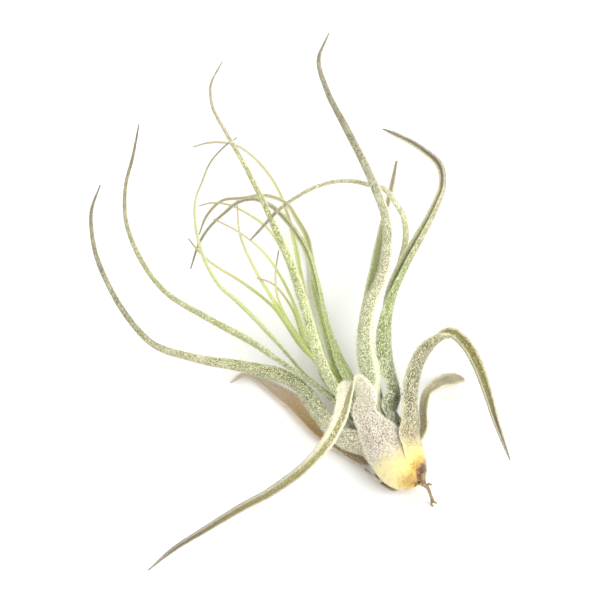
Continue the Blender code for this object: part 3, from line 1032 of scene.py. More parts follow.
@dataclass(frozen=True)
class Stem:
    """The short woody stem inside the bulb, whose broken end closes the collar of the sheaths.

    outline holds the distance along the stem from its root end and the radius there, in millimetres.
    Ridges run along its bark, and burrs roughen the broken depth at its root end.
    """

    root_end: float = -15.2
    broken_depth: float = 1.0
    sides: int = 64
    ridge_scale: float = 5.0
    ridge_run: float = 4.0
    ridge_height: float = 0.08
    burr_scale: float = 1.6
    burr_height: float = 0.3
    outline: tuple[Band, ...] = (
        (-0.5, 0.0), (-0.5, 0.7), (-0.35, 1.5), (-0.1, 2.3), (0.3, 3.0), (0.8, 3.3), (1.6, 2.9),
        (3.0, 2.3), (6.0, 2.28), (8.3, 2.1), (8.8, 1.5), (8.8, 0.0))

    def build(self) -> bpy.types.Object:
        """Spin the stem's outline, then roughen its fibrous scar.

        Returns:
            The stem.
        """
        bulb = Bulb()
        mesh = bmesh.new()
        corners = [mesh.verts.new((radius, 0, self.root_end + along)) for along, radius in self.outline]
        edges = [mesh.edges.new(pair) for pair in zip(corners, corners[1:])]
        bmesh.ops.spin(mesh, geom=corners + edges, axis=(0, 0, 1), cent=(0, 0, 0), steps=self.sides,
                       angle=math.tau, use_merge=True)
        bmesh.ops.remove_doubles(mesh, verts=mesh.verts, dist=WELD)
        bmesh.ops.recalc_face_normals(mesh, faces=mesh.faces)
        grain = mesh.verts.layers.float_vector.new("grain")
        turn = bulb.axis.to_track_quat("Z", "Y").to_matrix()
        for vert in mesh.verts:
            vert[grain] = vert.co
            spoke = math.atan2(vert.co.y, vert.co.x)
            ridge = noise.noise(Vector((math.cos(spoke) * self.ridge_scale,
                                        math.sin(spoke) * self.ridge_scale, vert.co.z / self.ridge_run)))
            vert.co.xy *= 1 + self.ridge_height * ridge
            if vert.co.z < self.root_end + self.broken_depth:
                vert.co.z += self.burr_height * noise.noise(vert.co * self.burr_scale)
            vert.co = (turn @ vert.co + bulb.middle - REST_SPOT) * MM
        return finished("stem_scar", mesh, "stem")


@dataclass(frozen=True)
class Shreds:
    """Torn brown fibres of old sheaths that cling round the scar.

    facing and spread are degrees round the bulb, and along and run are millimetres along its axis: the
    middle of the torn side and how far fibres stray from it. Each leans away from the bulb's root end,
    outward by a share out of lean_out and sideways by lean_aside, and bends by curl over its length.
    """

    seed: int = 17
    count: int = 170
    facing: float = 42.0
    spread: float = 24.0
    along: float = -14.4
    run: float = 1.0
    layer: float = 0.3
    last_along: float = -16.4
    length: float = 2.3
    shortest: float = 0.35
    width: float = 0.2
    tip_radius: float = 0.03
    sides: int = 5
    joints: int = 3
    lean_out: Band = (-0.5, 0.2)
    lean_aside: float = 0.4
    curl: float = 0.3

    def build(self) -> bpy.types.Object:
        """Scatter the fibres over the torn side of the root end.

        Returns:
            The fibres as one object.
        """
        bulb = Bulb()
        rng = np.random.default_rng(self.seed)
        mesh = bmesh.new()
        grain = mesh.verts.layers.float_vector.new("grain")
        for number in range(self.count):
            angle = self.facing + rng.normal(0, self.spread)
            along = max(self.last_along, self.along + rng.normal(0, self.run))
            out = bulb.round(angle)
            radius, _ = bulb.profile(self.layer, along)
            start = bulb.middle + bulb.axis * along + out * radius
            lean = -bulb.axis + out * rng.uniform(*self.lean_out)
            lean += bulb.round(angle + 90) * rng.normal(0, self.lean_aside)
            length = self.length * rng.uniform(self.shortest, 1)
            known = set(mesh.verts)
            bmesh.ops.create_cone(mesh, cap_ends=True, segments=self.sides, radius1=self.width / 2,
                                  radius2=self.tip_radius, depth=length)
            flanks = [edge for edge in mesh.edges if not known.intersection(edge.verts)
                      and abs(edge.verts[0].co.z - edge.verts[1].co.z) > self.width / 2]
            bmesh.ops.subdivide_edges(mesh, edges=flanks, cuts=self.joints)
            strand = [vert for vert in mesh.verts if vert not in known]
            curl = Vector(rng.normal(0, self.curl, 3))
            turn = lean.to_track_quat("Z", "Y").to_matrix()
            for vert in strand:
                vert[grain] = vert.co + Vector((number, 0, 0))
                share = vert.co.z / length + 0.5
                bent = Vector((vert.co.x, vert.co.y, vert.co.z + length / 2))
                vert.co = (start + turn @ bent + curl * share ** 2 - REST_SPOT) * MM
        return finished("collar_fibres", mesh)


@dataclass(frozen=True)
class Roots:
    """The short wiry root that is left at the scar, with its forks.

    kink is how many millimetres a run strays from its route. taper is the share of the width that it loses
    by its end, and knobs are the share by which the width varies on the way.
    """

    runs: list[tuple[float, Route]]
    sides: int = 12
    rows_per_stretch: int = 8
    kink: float = 0.22
    kink_scale: float = 0.9
    taper: float = 0.4
    knobs: float = 0.22
    knob_scale: float = 1.7

    def build(self) -> list[bpy.types.Object]:
        """Model each run of root.

        Returns:
            The runs.
        """
        pieces = []
        for number, (width, route) in enumerate(self.runs):
            name = f"root_{number + 1}"
            path = smooth_path([Vector(stop) for stop in route], None, self.rows_per_stretch)
            samples = [place + noise.noise_vector(place * self.kink_scale) * self.kink
                       for place, _, _ in path]
            last = len(samples) - 1
            widths = [width * (1 - self.taper * i / last)
                      * (1 + self.knobs * noise.noise(place * self.knob_scale))
                      for i, place in enumerate(samples)]
            surface = Tube(name, self.sides).surface(samples, widths)
            pieces.append(skin_mesh(name, surface, "roots"))
        return pieces


@dataclass(frozen=True)
class LeafSkin:
    """The living skin of a leaf: a green ground under silver scales, veined along its length.

    A scale names how fine a pattern is across the leaf, along it and through it. wall is where the channel
    begins, in the field that grows from the margin inward. The skin shows silver where the specks pass a
    threshold, which falls from barest as the cover grows.
    """

    finish: LeafFinish
    roughness: float = 0.78
    silver_gloss: float = 0.16
    bald_gloss: float = 0.2
    sheen: float = 0.6
    silver_share: float = 0.62
    cream_and_highlight_share: float = 0.55
    # Painted shade: the bare specks between the scales are multiplied by this colour.
    shade: Colour = (132, 128, 100)
    wall: Band = (0.3, 0.5)
    stripe_edge: float = 0.12
    stripe_share: float = 0.9
    drift_scale: Triple = (0.25, 0.12, 0.3)
    drift: float = 0.03
    vein_scale: Triple = (3.2, 0.16, 1.0)
    vein_shares: Band = (0.1, 0.45)
    green_fade: Band = (0.6, 0.85)
    speck_scale: Triple = (3.9, 2.0, 1.5)
    patch_scale: Triple = (0.5, 0.28, 1.0)
    patchiness: float = 0.04
    cream_and_highlight_cover: float = 0.1
    stripe_cover: float = 0.2
    barest: float = 0.64
    cover_gain: float = 0.22
    cover_edge: float = 0.03
    vein_relief: float = 0.35
    bald_level: tuple[float, ...] = (0.5, 0.5, 0.5, 1.0)
    bald_share: float = 0.8
    depth: float = 0.00022

    def make(self, name: str) -> bpy.types.Material:
        """Build the skin's material.

        Args:
            name: The material's name.

        Returns:
            The material.
        """
        graph = Graph(name)
        finish = self.finish
        grain = graph.field("grain", "Vector")
        cream, silver_left = finish.cream(graph), finish.silver_left(graph)
        stripe = self.stripe(graph)
        ground = self.ground(graph, grain)
        veins = graph.streaks(grain, self.vein_scale, 4.0)
        cover = graph.math("MULTIPLY", self.cover(graph, grain, cream, stripe), silver_left)
        silver = graph.mix(self.silver_share, ground, paint(finish.scales))
        colour = graph.mix(cover, self.bare(graph, ground, veins, stripe), silver)
        # Cream flanks: partly denser scales, partly a painted highlight on the lit and edge-on flanks.
        cream = graph.math("MULTIPLY", graph.math("MULTIPLY", cream, silver_left), self.cream_and_highlight_share)
        colour = graph.mix(cream, colour, paint(finish.scales))
        rough = graph.span(cover, 0, 1, self.roughness - self.silver_gloss, self.roughness)
        height = graph.mix(self.vein_relief, cover, veins)
        if not finish.dried:
            colour, bald = RootEnd().tint(graph, colour)
            rough = graph.math("SUBTRACT", rough, graph.span(bald, 0, 1, 0, self.bald_gloss))
            height = graph.mix(graph.span(bald, 0, 1, 0, self.bald_share), height, self.bald_level)
        graph.coat(colour, rough)
        graph.relief(height, self.depth, 0.8)
        graph.constants(Sheen_Weight=self.sheen, Sheen_Roughness=0.4, Sheen_Tint=(1, 1, 0.93, 1),
                        Specular_IOR_Level=0.3)
        return graph.material

    def ground(self, graph: Graph, grain: Socket) -> Socket:
        """Colour the skin along the leaf.

        Args:
            graph: The material.
            grain: The leaf's own coordinates, in millimetres.

        Returns:
            The colour under the silver.
        """
        drift = graph.span(graph.streaks(grain, self.drift_scale), 0.3, 0.7, -self.drift, self.drift)
        return graph.ramp(graph.math("ADD", graph.field("along"), drift), self.finish.skin)

    def stripe(self, graph: Graph) -> Socket:
        """Find the bare green stripe in the channel.

        Args:
            graph: The material.

        Returns:
            How much of the stripe there is, from 0 to 1.
        """
        across, edge = graph.field("across"), self.stripe_edge
        left, right = self.finish.stripe
        stripe = graph.math("MULTIPLY", graph.span(across, left - edge, left + edge),
                            graph.span(across, right - edge, right + edge, 1.0, 0.0))
        return graph.math("MULTIPLY", stripe, graph.span(graph.field("inside"), *self.wall))

    def bare(self, graph: Graph, ground: Socket, veins: Socket, stripe: Socket) -> Socket:
        """Colour the specks of skin that show between the silver ones, darkened with painted shade.

        Args:
            graph: The material.
            ground: The colour under the silver.
            veins: The veins along the leaf, from 0 to 1.
            stripe: How much of the green stripe there is, from 0 to 1.

        Returns:
            The colour.
        """
        finish = self.finish
        green = graph.mix(graph.span(graph.field("along"), *self.green_fade), paint(finish.channel), ground)
        bare = graph.mix(graph.span(veins, 0.35, 0.65, *self.vein_shares), ground, green)
        bare = graph.mix(graph.span(stripe, 0, 1, 0.0, self.stripe_share), bare, green)
        # Painted shade in the gaps between the scales, with less of it in the channel.
        depth = graph.span(graph.field("inside"), *self.wall, finish.contrast,
                           finish.contrast * finish.inner)
        return graph.mix(depth, bare, paint(self.shade), "MULTIPLY")

    def cover(self, graph: Graph, grain: Socket, cream: Socket, stripe: Socket) -> Socket:
        """Find the silver specks.

        Args:
            graph: The material.
            grain: The leaf's own coordinates, in millimetres.
            cream: How far the skin has turned cream, partly as painted highlight, from 0 to 1.
            stripe: How much of the green stripe there is, from 0 to 1.

        Returns:
            How silvery the skin is, from 0 to 1.
        """
        specks = graph.streaks(grain, self.speck_scale, 6.0)
        patches = graph.streaks(grain, self.patch_scale, 2.0)
        level = graph.math("ADD", specks, graph.span(patches, 0.3, 0.7, -self.patchiness, self.patchiness))
        level = graph.math("ADD", level, graph.span(cream, 0, 1, 0.0, self.cream_and_highlight_cover))
        level = graph.math("SUBTRACT", level, graph.span(stripe, 0, 1, 0.0, self.stripe_cover))
        threshold = self.barest - self.cover_gain * self.finish.cover
        return graph.span(level, threshold - self.cover_edge, threshold + self.cover_edge)


@dataclass(frozen=True)
class ScaleFinish:
    """The papery scales themselves, from pale silver to the leaf's own tone.

    Each scale has a tone from 0 to 1. It turns silver over silver_tones by a share out of silver_shares,
    and below dull_tones it stays dull.
    """

    finish: LeafFinish
    silver_tones: Band = (0.1, 0.6)
    silver_shares: Band = (0.25, 0.9)
    cream_and_highlight_share: float = 0.9
    dull_tones: Band = (0.10, 0.14)
    dull_share: float = 0.7
    roughness: Band = (0.55, 0.85)
    sheen: float = 0.4

    def make(self, name: str) -> bpy.types.Material:
        """Build the scales' material.

        Args:
            name: The material's name.

        Returns:
            The material.
        """
        graph = Graph(name)
        finish = self.finish
        ground = graph.ramp(graph.field("along"), finish.skin)
        tone = graph.field("tone")
        silver = graph.math("MULTIPLY", graph.span(tone, *self.silver_tones, *self.silver_shares),
                            finish.silver_left(graph))
        # Scales on the cream flanks turn pale: partly their own colour, partly a painted highlight.
        cream = graph.math("MULTIPLY", finish.cream(graph), self.cream_and_highlight_share)
        colour = graph.mix(graph.math("MAXIMUM", silver, cream), ground, paint(finish.scales))
        dull = graph.mix(self.dull_share, ground, paint(finish.channel), "MULTIPLY")
        colour = graph.mix(graph.span(tone, *self.dull_tones, self.dull_share, 0.0), colour, dull)
        graph.coat(colour, graph.span(tone, 0, 1, *self.roughness))
        graph.constants(Sheen_Weight=self.sheen, Specular_IOR_Level=0.3)
        return graph.material


@dataclass(frozen=True)
class Bark:
    """A brown, fibrous, woody surface.

    tones are where its three colours stand in the fibres' pattern. roughness is that of its dark grooves
    and of its pale fibres.
    """

    dark: Colour
    mid: Colour
    pale: Colour
    tones: Triple = (0.3, 0.5, 0.72)
    fibre_scale: Triple = (2.2, 2.2, 0.5)
    pit_scale: float = 3.0
    pit_share: float = 0.6
    pit_relief: float = 0.4
    roughness: Band = (0.95, 0.7)
    depth: float = 0.00035
    root_end: RootEnd | None = None

    def make(self, name: str) -> bpy.types.Material:
        """Build the bark's material.

        Args:
            name: The material's name.

        Returns:
            The material.
        """
        graph = Graph(name)
        grain = graph.field("grain", "Vector")
        fibre = graph.streaks(grain, self.fibre_scale, 6.0)
        pits = graph.speckle(grain, self.pit_scale, 4.0)
        colour = graph.ramp(fibre, tuple(zip(self.tones, (self.dark, self.mid, self.pale))))
        colour = graph.mix(graph.span(pits, 0.5, 0.7, 0.0, self.pit_share), colour, paint(self.dark))
        if self.root_end:
            colour, _ = self.root_end.tint(graph, colour)
        graph.coat(colour, graph.span(fibre, 0.3, 0.7, *self.roughness))
        graph.relief(graph.mix(self.pit_relief, fibre, pits), self.depth, 1.0)
        graph.constants(Specular_IOR_Level=0.3)
        return graph.material


SCAR_BARK = Bark((48, 28, 18), (105, 66, 38), (168, 120, 72), root_end=RootEnd())
FIBRE_BARK = Bark((92, 56, 28), (158, 106, 54), (214, 170, 106))
ROOT_BARK = Bark((84, 66, 44), (150, 130, 96), (200, 184, 148))

# A stripe that lies past the right margin, for leaves without one.
NO_STRIPE = (2.0, 2.0)

# Each leaf's colours run from 0 at its collar to 1 at its tip.
FINISHES = {
    "leaf_outer_left": LeafFinish(
        ((0.0, (190, 166, 158)), (0.1, (182, 166, 156)), (0.2, (192, 190, 154)), (0.28, (132, 146, 84)),
         (0.42, (164, 168, 104)), (0.54, (186, 182, 136)), (0.72, (132, 124, 84)), (1.0, (138, 124, 106))),
        (96, 104, 50), contrast=0.38, stripe=NO_STRIPE, flank=(1.0, 1.2)),
    "leaf_second_left": LeafFinish(
        ((0.0, (220, 210, 150)), (0.15, (122, 142, 82)), (0.28, (136, 150, 80)), (0.4, (200, 208, 140)),
         (0.55, (192, 196, 132)), (0.75, (176, 170, 118)), (0.9, (140, 128, 98)), (1.0, (126, 112, 92))),
        (122, 132, 62), cover=0.52, contrast=0.34, stripe=NO_STRIPE, flank=(1.0, 1.3)),
    "leaf_front": LeafFinish(
        ((0.0, (232, 220, 160)), (0.08, (214, 200, 184)), (0.14, (186, 168, 160)), (0.2, (206, 192, 184)),
         (0.28, (250, 247, 224)), (0.44, (250, 248, 216)), (0.5, (220, 214, 172)), (0.58, (134, 126, 86)),
         (0.75, (118, 108, 70)), (0.92, (106, 96, 66)), (1.0, (150, 136, 118))), (148, 142, 86),
        scales=(253, 249, 228), cover=0.66, coat=9, contrast=0.48, inner=0.15, stripe=(0.12, 0.84),
        flank=(0.0, 0.8), fade=(0.43, 0.12)),
    "leaf_top": LeafFinish(
        ((0.0, (232, 220, 150)), (0.12, (214, 208, 176)), (0.2, (176, 190, 126)), (0.32, (188, 198, 134)),
         (0.45, (204, 200, 158)), (0.6, (178, 176, 122)), (0.68, (142, 136, 88)), (0.8, (128, 116, 82)),
         (1.0, (150, 138, 118))), (112, 120, 62), scales=(250, 247, 222), cover=0.58, coat=8, contrast=0.52,
        flank=(-0.35, 0.5), fade=(0.6, 0.45)),
    # The right hook's dark base, from 0.1 to 0.17 along it, is partly its own dark skin and partly painted
    # shade where it lies hidden between the other leaves.
    "leaf_right_hook": LeafFinish(
        ((0.0, (226, 208, 140)), (0.1, (80, 74, 66)), (0.17, (92, 90, 72)), (0.25, (124, 138, 92)),
         (0.42, (152, 174, 92)), (0.52, (148, 166, 80)), (0.6, (170, 168, 112)), (0.72, (200, 188, 158)),
         (0.85, (144, 132, 112)), (1.0, (156, 142, 130))), (112, 138, 60), cover=0.46,
        contrast=0.35, flank=(-0.1, 0.75)),
    "leaf_right_arch": LeafFinish(
        ((0.0, (226, 206, 130)), (0.1, (168, 142, 78)), (0.2, (138, 122, 84)), (0.3, (112, 108, 76)),
         (0.42, (128, 124, 86)), (0.52, (164, 158, 122)), (0.65, (156, 150, 100)), (0.78, (138, 128, 86)),
         (0.88, (108, 92, 64)), (1.0, (130, 118, 100))), (130, 126, 48), scales=(244, 239, 206),
        cover=0.5, contrast=0.38, stripe=(-0.1, 0.7)),
    "leaf_short_spoon": LeafFinish(
        ((0.0, (220, 200, 140)), (0.2, (250, 238, 210)), (0.4, (226, 214, 184)), (0.7, (180, 166, 132)),
         (0.85, (176, 166, 134)), (1.0, (204, 194, 162))), (216, 204, 172), cover=0.55),
    "leaf_thin_arch": LeafFinish(
        ((0.0, (226, 214, 150)), (0.25, (140, 156, 82)), (0.42, (204, 204, 154)), (0.6, (232, 230, 192)),
         (0.75, (192, 184, 148)), (0.88, (158, 148, 114)), (1.0, (128, 116, 102))), (150, 150, 92),
        cover=0.6, coat=5, contrast=0.3),
    "leaf_flat_back": LeafFinish(
        ((0.0, (226, 214, 150)), (0.3, (150, 158, 104)), (0.7, (158, 162, 112)), (1.0, (148, 134, 108))),
        (120, 130, 76), cover=0.3, coat=3, contrast=0.15),
    "leaf_centre": LeafFinish(
        ((0.0, (236, 226, 150)), (0.16, (186, 200, 142)), (0.35, (202, 218, 140)), (0.52, (190, 204, 116)),
         (0.65, (194, 198, 124)), (0.8, (198, 192, 150)), (1.0, (174, 164, 144))), (112, 132, 56),
        cover=0.54, contrast=0.42, flank=(0.0, 0.72)),
    "leaf_curl": LeafFinish(
        ((0.0, (236, 226, 150)), (0.2, (176, 194, 126)), (0.42, (192, 206, 124)), (0.56, (200, 200, 144)),
         (0.68, (158, 148, 116)), (1.0, (132, 118, 98))), (160, 182, 98), cover=0.35, coat=4, contrast=0.15),
    "leaf_low": LeafFinish(
        ((0.0, (226, 216, 150)), (0.2, (156, 172, 110)), (0.42, (194, 208, 132)), (0.56, (190, 184, 138)),
         (0.72, (196, 186, 150)), (1.0, (160, 146, 122))), (156, 178, 98), cover=0.3, coat=4, contrast=0.1),
    "leaf_back_long": LeafFinish(
        ((0.0, (226, 216, 150)), (0.25, (196, 208, 132)), (0.6, (214, 220, 146)), (0.85, (206, 202, 160)),
         (1.0, (180, 172, 140))), (184, 200, 112), cover=0.3, coat=3, contrast=0.1),
    "leaf_left_inner": LeafFinish(
        ((0.0, (236, 226, 150)), (0.22, (182, 196, 130)), (0.5, (208, 216, 152)), (0.8, (206, 208, 148)),
         (0.92, (158, 144, 118)), (1.0, (130, 116, 100))), (190, 204, 128), cover=0.35, coat=3, contrast=0.1),
    "leaf_dried": LeafFinish(
        ((0.0, (158, 146, 132)), (0.25, (140, 130, 110)), (0.36, (150, 138, 100)), (0.48, (210, 174, 112)),
         (0.62, (230, 200, 150)), (0.8, (228, 212, 194)), (1.0, (204, 190, 176))), (222, 188, 130),
        scales=(240, 226, 204), cover=0.4, contrast=0.2, stripe=NO_STRIPE, coat=4, dried=True),
    "dried_scale": LeafFinish(
        ((0.0, (224, 204, 132)), (0.3, (206, 188, 136)), (0.5, (156, 142, 116)), (1.0, (144, 132, 112))),
        (140, 126, 104), scales=(196, 186, 164), cover=0.35, coat=5, dried=True),
}
YOUNG_FINISH = LeafFinish(
    ((0.0, (232, 226, 150)), (0.2, (196, 210, 124)), (0.6, (214, 220, 138)), (0.86, (214, 208, 148)),
     (1.0, (178, 160, 134))), (190, 204, 110), cover=0.3, coat=2, contrast=0.08)

LEAVES = [
    Leaf("leaf_outer_left", Slot.SILVER, 2, -94, 60, 0, 105, [
        (-16.8, 2.6, 8.6, 11), (-23.8, 12.1, 7.9, 9.6), (-31.5, 22.6, 8.5, 6), (-44.5, 27.6, 8, 4.4),
        (-61.5, 31.3, 8, 3.1), (-73.5, 35.4, 9, 2.6), (-81.5, 43.5, 12, 2.4), (-87.5, 53.5, 15, 2.2),
        (-91.5, 64, 19, 1.9), (-92, 75, 22, 1.5), (-89.5, 82, 24, 0.6)],
         FINISHES["leaf_outer_left"]),
    Leaf("leaf_second_left", Slot.SILVER, 3, -85, 32, 7, 110, [
        (-22.5, 15.5, 14.6, 3.4), (-35, 26.5, 13.3, 2.8), (-44.5, 35.5, 10.5, 2.5), (-57.5, 44.5, 9, 2.1),
        (-70, 53, 10, 1.8), (-78, 63, 14, 1.7), (-82, 73, 19, 1.5), (-82, 82.5, 23, 1.3),
        (-80, 89.5, 27, 1.15), (-78, 99.5, 30, 0.5)],
         FINISHES["leaf_second_left"]),
    Leaf("leaf_front", Slot.CREAM, 1, -22, 62, 9, 95, [
        (-9.8, 10.3, 22.5, 5.8), (-12.5, 13, 26, 4.6), (-14.5, 11.5, 29, 4.5), (-16, 6.5, 31, 4.5),
        (-18, -0.5, 30, 4.4), (-22, -7.5, 26.5, 4.1), (-29.5, -14, 21.5, 3.6), (-38.5, -19, 17, 3.2),
        (-48, -23.5, 14.5, 2.8), (-58.5, -30, 13, 2.2), (-68, -36.5, 12, 1.6),
        (-74.5, -43, 12, 0.45)],
         FINISHES["leaf_front"], -95, 0.2, 0.5, root_layer=0.53),
    Leaf("leaf_top", Slot.SILVER, 3, 12, 44, 12, 105, [
        (-8.5, 18.5, 20.2, 6.6), (-9.8, 24.5, 24, 5.9), (-9.9, 31.5, 28, 4.5), (-8.7, 37, 31, 3.9),
        (-5.5, 43.5, 34, 3.4), (-3.5, 52, 37, 2.9), (-3.5, 59.5, 39, 2.9), (-6.5, 69.5, 41, 2.7),
        (-10.5, 79, 43, 2.6), (-16, 90, 45, 2.3), (-21.5, 101.5, 47, 1.8), (-24, 111.5, 48, 1.4),
        (-21, 120, 49, 0.45)],
         FINISHES["leaf_top"]),
    Leaf("leaf_right_hook", Slot.SILVER, 2, 60, 48, 7, 105, [
        (-1.1, 14.5, 15.6, 7.8), (-2.9, 22, 17, 7.4), (-4.2, 29, 19.6, 6.4), (-4, 36.5, 22.8, 5.3),
        (-2.2, 43.5, 26, 4.7), (1.5, 51.5, 29, 4.5), (6, 59, 32, 3.9), (11, 69, 34, 3.3), (13, 75, 35, 2.8),
        (12.5, 81, 36, 2.5), (6.5, 87.3, 37, 2), (-1.5, 91.6, 38, 1.5), (-5, 93.2, 38, 0.5)],
         FINISHES["leaf_right_hook"], 53, 0.22, 0.45),
    Leaf("leaf_right_arch", Slot.SILVER, 0, 52, 56, -4, 95, [
        (4, 5.6, 15.8, 10.5), (3.6, 10.5, 16.8, 8), (4.1, 17.5, 19, 6.4), (6.8, 24.5, 22, 5.2),
        (11.3, 28.7, 24.5, 4.6), (14.8, 30.3, 24.5, 4.3), (19.7, 27.8, 21.4, 4), (22.1, 24.5, 18.8, 3.9),
        (24.4, 20, 15.6, 3.6), (26.5, 15, 12, 3), (28.4, 9.5, 9, 2.3), (30.6, 4, 6, 1.5),
        (32.8, -1, 3.5, 0.45)],
         FINISHES["leaf_right_arch"], 100, 0.3, 0.55, 4.3, 0.47),
    Leaf("leaf_short_spoon", Slot.SILVER, 1, 108, 42, -5, 62, [
        (7.2, 6.4, 8.5, 4.8), (7.4, 13.5, 9.5, 4.3), (8.1, 17.6, 10.2, 3.6), (10.8, 21.1, 9.4, 4.2),
        (14.5, 24.4, 6.4, 5.8), (17.7, 27, 3.4, 4.8), (18.7, 27.8, 2.6, 2.2)],
         FINISHES["leaf_short_spoon"], 45, 0.2, 0.7),
    Leaf("leaf_thin_arch", Slot.SILVER, 4, 50, 40, 14, 110, [
        (-6.6, 22.5, 15, 3), (-4.4, 36, 16.5, 2.6), (-1.8, 48, 20, 2.3), (0.5, 55.5, 24, 2),
        (2, 61.5, 29, 2), (1.5, 65.5, 32, 1.9), (-1, 70, 34, 1.8), (-4.5, 74, 35.5, 1.6),
        (-10, 75.5, 36, 1.5), (-16, 76.5, 36, 1.4), (-21.5, 76, 35.5, 1.3), (-29.5, 72.5, 34.5, 1.2),
        (-36.5, 67.5, 33.5, 1.1), (-42, 62, 31, 0.9), (-44.5, 60, 29, 0.45)],
         FINISHES["leaf_thin_arch"]),
    Leaf("leaf_flat_back", Slot.GREEN, 3, 115, 44, 8, 75, [
        (-7.6, 27, 8, 4.2), (-10, 40.5, 9, 4.2), (-8.6, 53, 8, 3.9), (-5.8, 70.5, 8, 2.9),
        (-4.1, 80.5, 9, 2), (-2.1, 90, 10, 1.5), (-0.6, 98, 11, 0.8)],
         FINISHES["leaf_flat_back"], 60, 0, 0.35),
    Leaf("leaf_centre", Slot.SILVER, 4, -60, 36, 11, 110, [
        (-19.1, 13.4, 20.2, 4.1), (-22.6, 20.5, 20.1, 4.4), (-25.2, 27.5, 20.5, 3.9), (-27.7, 37, 22.3, 3.3),
        (-30.8, 48.5, 24, 2.9), (-36.6, 63.5, 27, 2.3), (-42, 76, 29, 1.9), (-48, 88, 31, 1.6),
        (-52.5, 96, 33, 1.3), (-56, 103, 35, 1.1), (-56.5, 108.5, 37, 0.95),
        (-53, 115.5, 40, 0.45)],
         FINISHES["leaf_centre"]),
    Leaf("leaf_curl", Slot.GREEN, 5, -5, 44, 14, 110, [
        (-16.8, 24, 16, 3.4), (-20.3, 35.5, 15, 2.9), (-22.8, 45.5, 15, 2.6), (-24.7, 53.5, 16, 2.3),
        (-27, 62, 17, 2), (-29.5, 67, 18, 1.9), (-34, 73, 19.5, 1.7), (-39, 77, 21, 1.5),
        (-44, 79, 21, 1.3), (-47.5, 78.5, 20.5, 1.2), (-52.5, 75.5, 18.5, 1.1), (-56.5, 72, 17, 1),
        (-60, 67, 15, 0.9), (-62.5, 60, 12, 0.45)],
         FINISHES["leaf_curl"], 120, 0, 0.3),
    Leaf("leaf_low", Slot.GREEN, 4, 172, 46, 8, 100, [
        (-18.3, 28, 5.6, 2.8), (-20.5, 37, 4.2, 2.6), (-23, 47.5, 3, 2.4), (-25.5, 59.5, 0.95, 2.2),
        (-26.5, 70.5, 0.95, 2), (-28, 76.5, 4, 1.8), (-30.5, 80, 7, 1.6), (-33.5, 84, 9, 1.4),
        (-40, 86, 11, 1.2), (-47, 84.5, 12, 1.1), (-53, 84, 11.5, 1), (-57.5, 80, 10, 0.9),
        (-60, 73.5, 9, 0.45)],
         FINISHES["leaf_low"]),
    Leaf("leaf_back_long", Slot.GREEN, 5, -165, 33, 8, 110, [
        (-23, 26.5, 8, 2.2), (-23.5, 35.5, 6, 1.9), (-26.5, 47.5, 4, 1.7), (-29, 59.5, 3.5, 1.6),
        (-31, 71.5, 3.5, 1.5), (-33.5, 83.5, 4, 1.2), (-35.5, 89.5, 5, 1.1), (-39.5, 95.5, 8, 1),
        (-44, 99.5, 11, 0.9), (-48.5, 102, 13, 0.9), (-57, 102, 15, 0.8), (-62, 100, 16, 0.45)],
         FINISHES["leaf_back_long"]),
    Leaf("leaf_left_inner", Slot.GREEN, 5, -95, 33, 11, 110, [
        (-28, 23, 12, 3), (-34.5, 31.5, 12, 2.5), (-40.5, 39, 12.5, 2.2), (-49, 48, 14, 1.8),
        (-54, 52, 16, 1.6), (-57.5, 57.5, 18, 1.5), (-59.5, 62.5, 20, 1.35), (-61, 69.5, 22, 1.25),
        (-61, 77, 24, 1.1), (-59, 82.5, 25, 1.05), (-56, 89.5, 26, 0.9), (-52, 94, 27, 0.8),
        (-48.5, 96.5, 27.5, 0.45)],
         FINISHES["leaf_left_inner"]),
    Leaf("leaf_dried", Slot.DRIED, 0, -164, 48, -2, 80, [
        (-11.5, -0.2, 1.8, 3.4), (-16.5, 3.6, 1.9, 4.4), (-23.5, 9.7, 1.8, 5.6), (-28, 15.2, 1.5, 5.8),
        (-32, 19.8, 1.2, 5.2), (-37, 24, 0.9, 4.2), (-42.5, 28.6, 0.8, 3), (-46, 29.8, 0.8, 2.2),
        (-50.5, 27, 0.8, 0.45)],
         FINISHES["leaf_dried"], collar=6.5),
    Leaf("dried_scale", Slot.DRIED, 0, -100, 15, -9, 40, [
        (-8.9, -6.2, 3.9, 3.2), (-10.4, -4.5, 3.6, 2)],
         FINISHES["dried_scale"], collar=7.5, root_layer=1.0),
]

# Young leaves in the heart: x, y, z along each, with its width at the base.
YOUNG_LEAVES = [
    (1.1, [(-15, 20.5, 13), (-23, 27.5, 13), (-29, 45, 13.5), (-34, 62.5, 14.5), (-39.5, 72.5, 15),
           (-46, 77.5, 15.5), (-51.5, 80, 16), (-56.5, 80.5, 16), (-60, 79.5, 16)]),
    (1.7, [(-17.5, 19.5, 12.6), (-27.5, 30.5, 14), (-32, 37, 15.5), (-38, 46.5, 17.5), (-43.5, 56, 20),
           (-47.5, 65.5, 22), (-48.5, 75.5, 24)]),
    (1.2, [(-17.5, 21.5, 12.8), (-28, 35, 16), (-31, 43, 18), (-35, 51.5, 20.5), (-41.5, 60, 24),
           (-49, 65.5, 25.5), (-55.5, 69, 26)]),
    (1.1, [(-17.5, 20, 13), (-28, 33.5, 13), (-32.5, 44.5, 17), (-38.5, 50.5, 20), (-42.5, 51.5, 21)]),
    (1.3, [(-16.5, 19.5, 12), (-29.5, 34, 11), (-38, 47.5, 11.5), (-47, 55, 12.5), (-57.5, 61.5, 15),
           (-61, 64.5, 17), (-63, 67, 18)]),
    (1.0, [(-17, 22, 12.8), (-32.5, 38.5, 16), (-36.5, 47, 19), (-37, 52.5, 21), (-36, 60, 23)]),
]

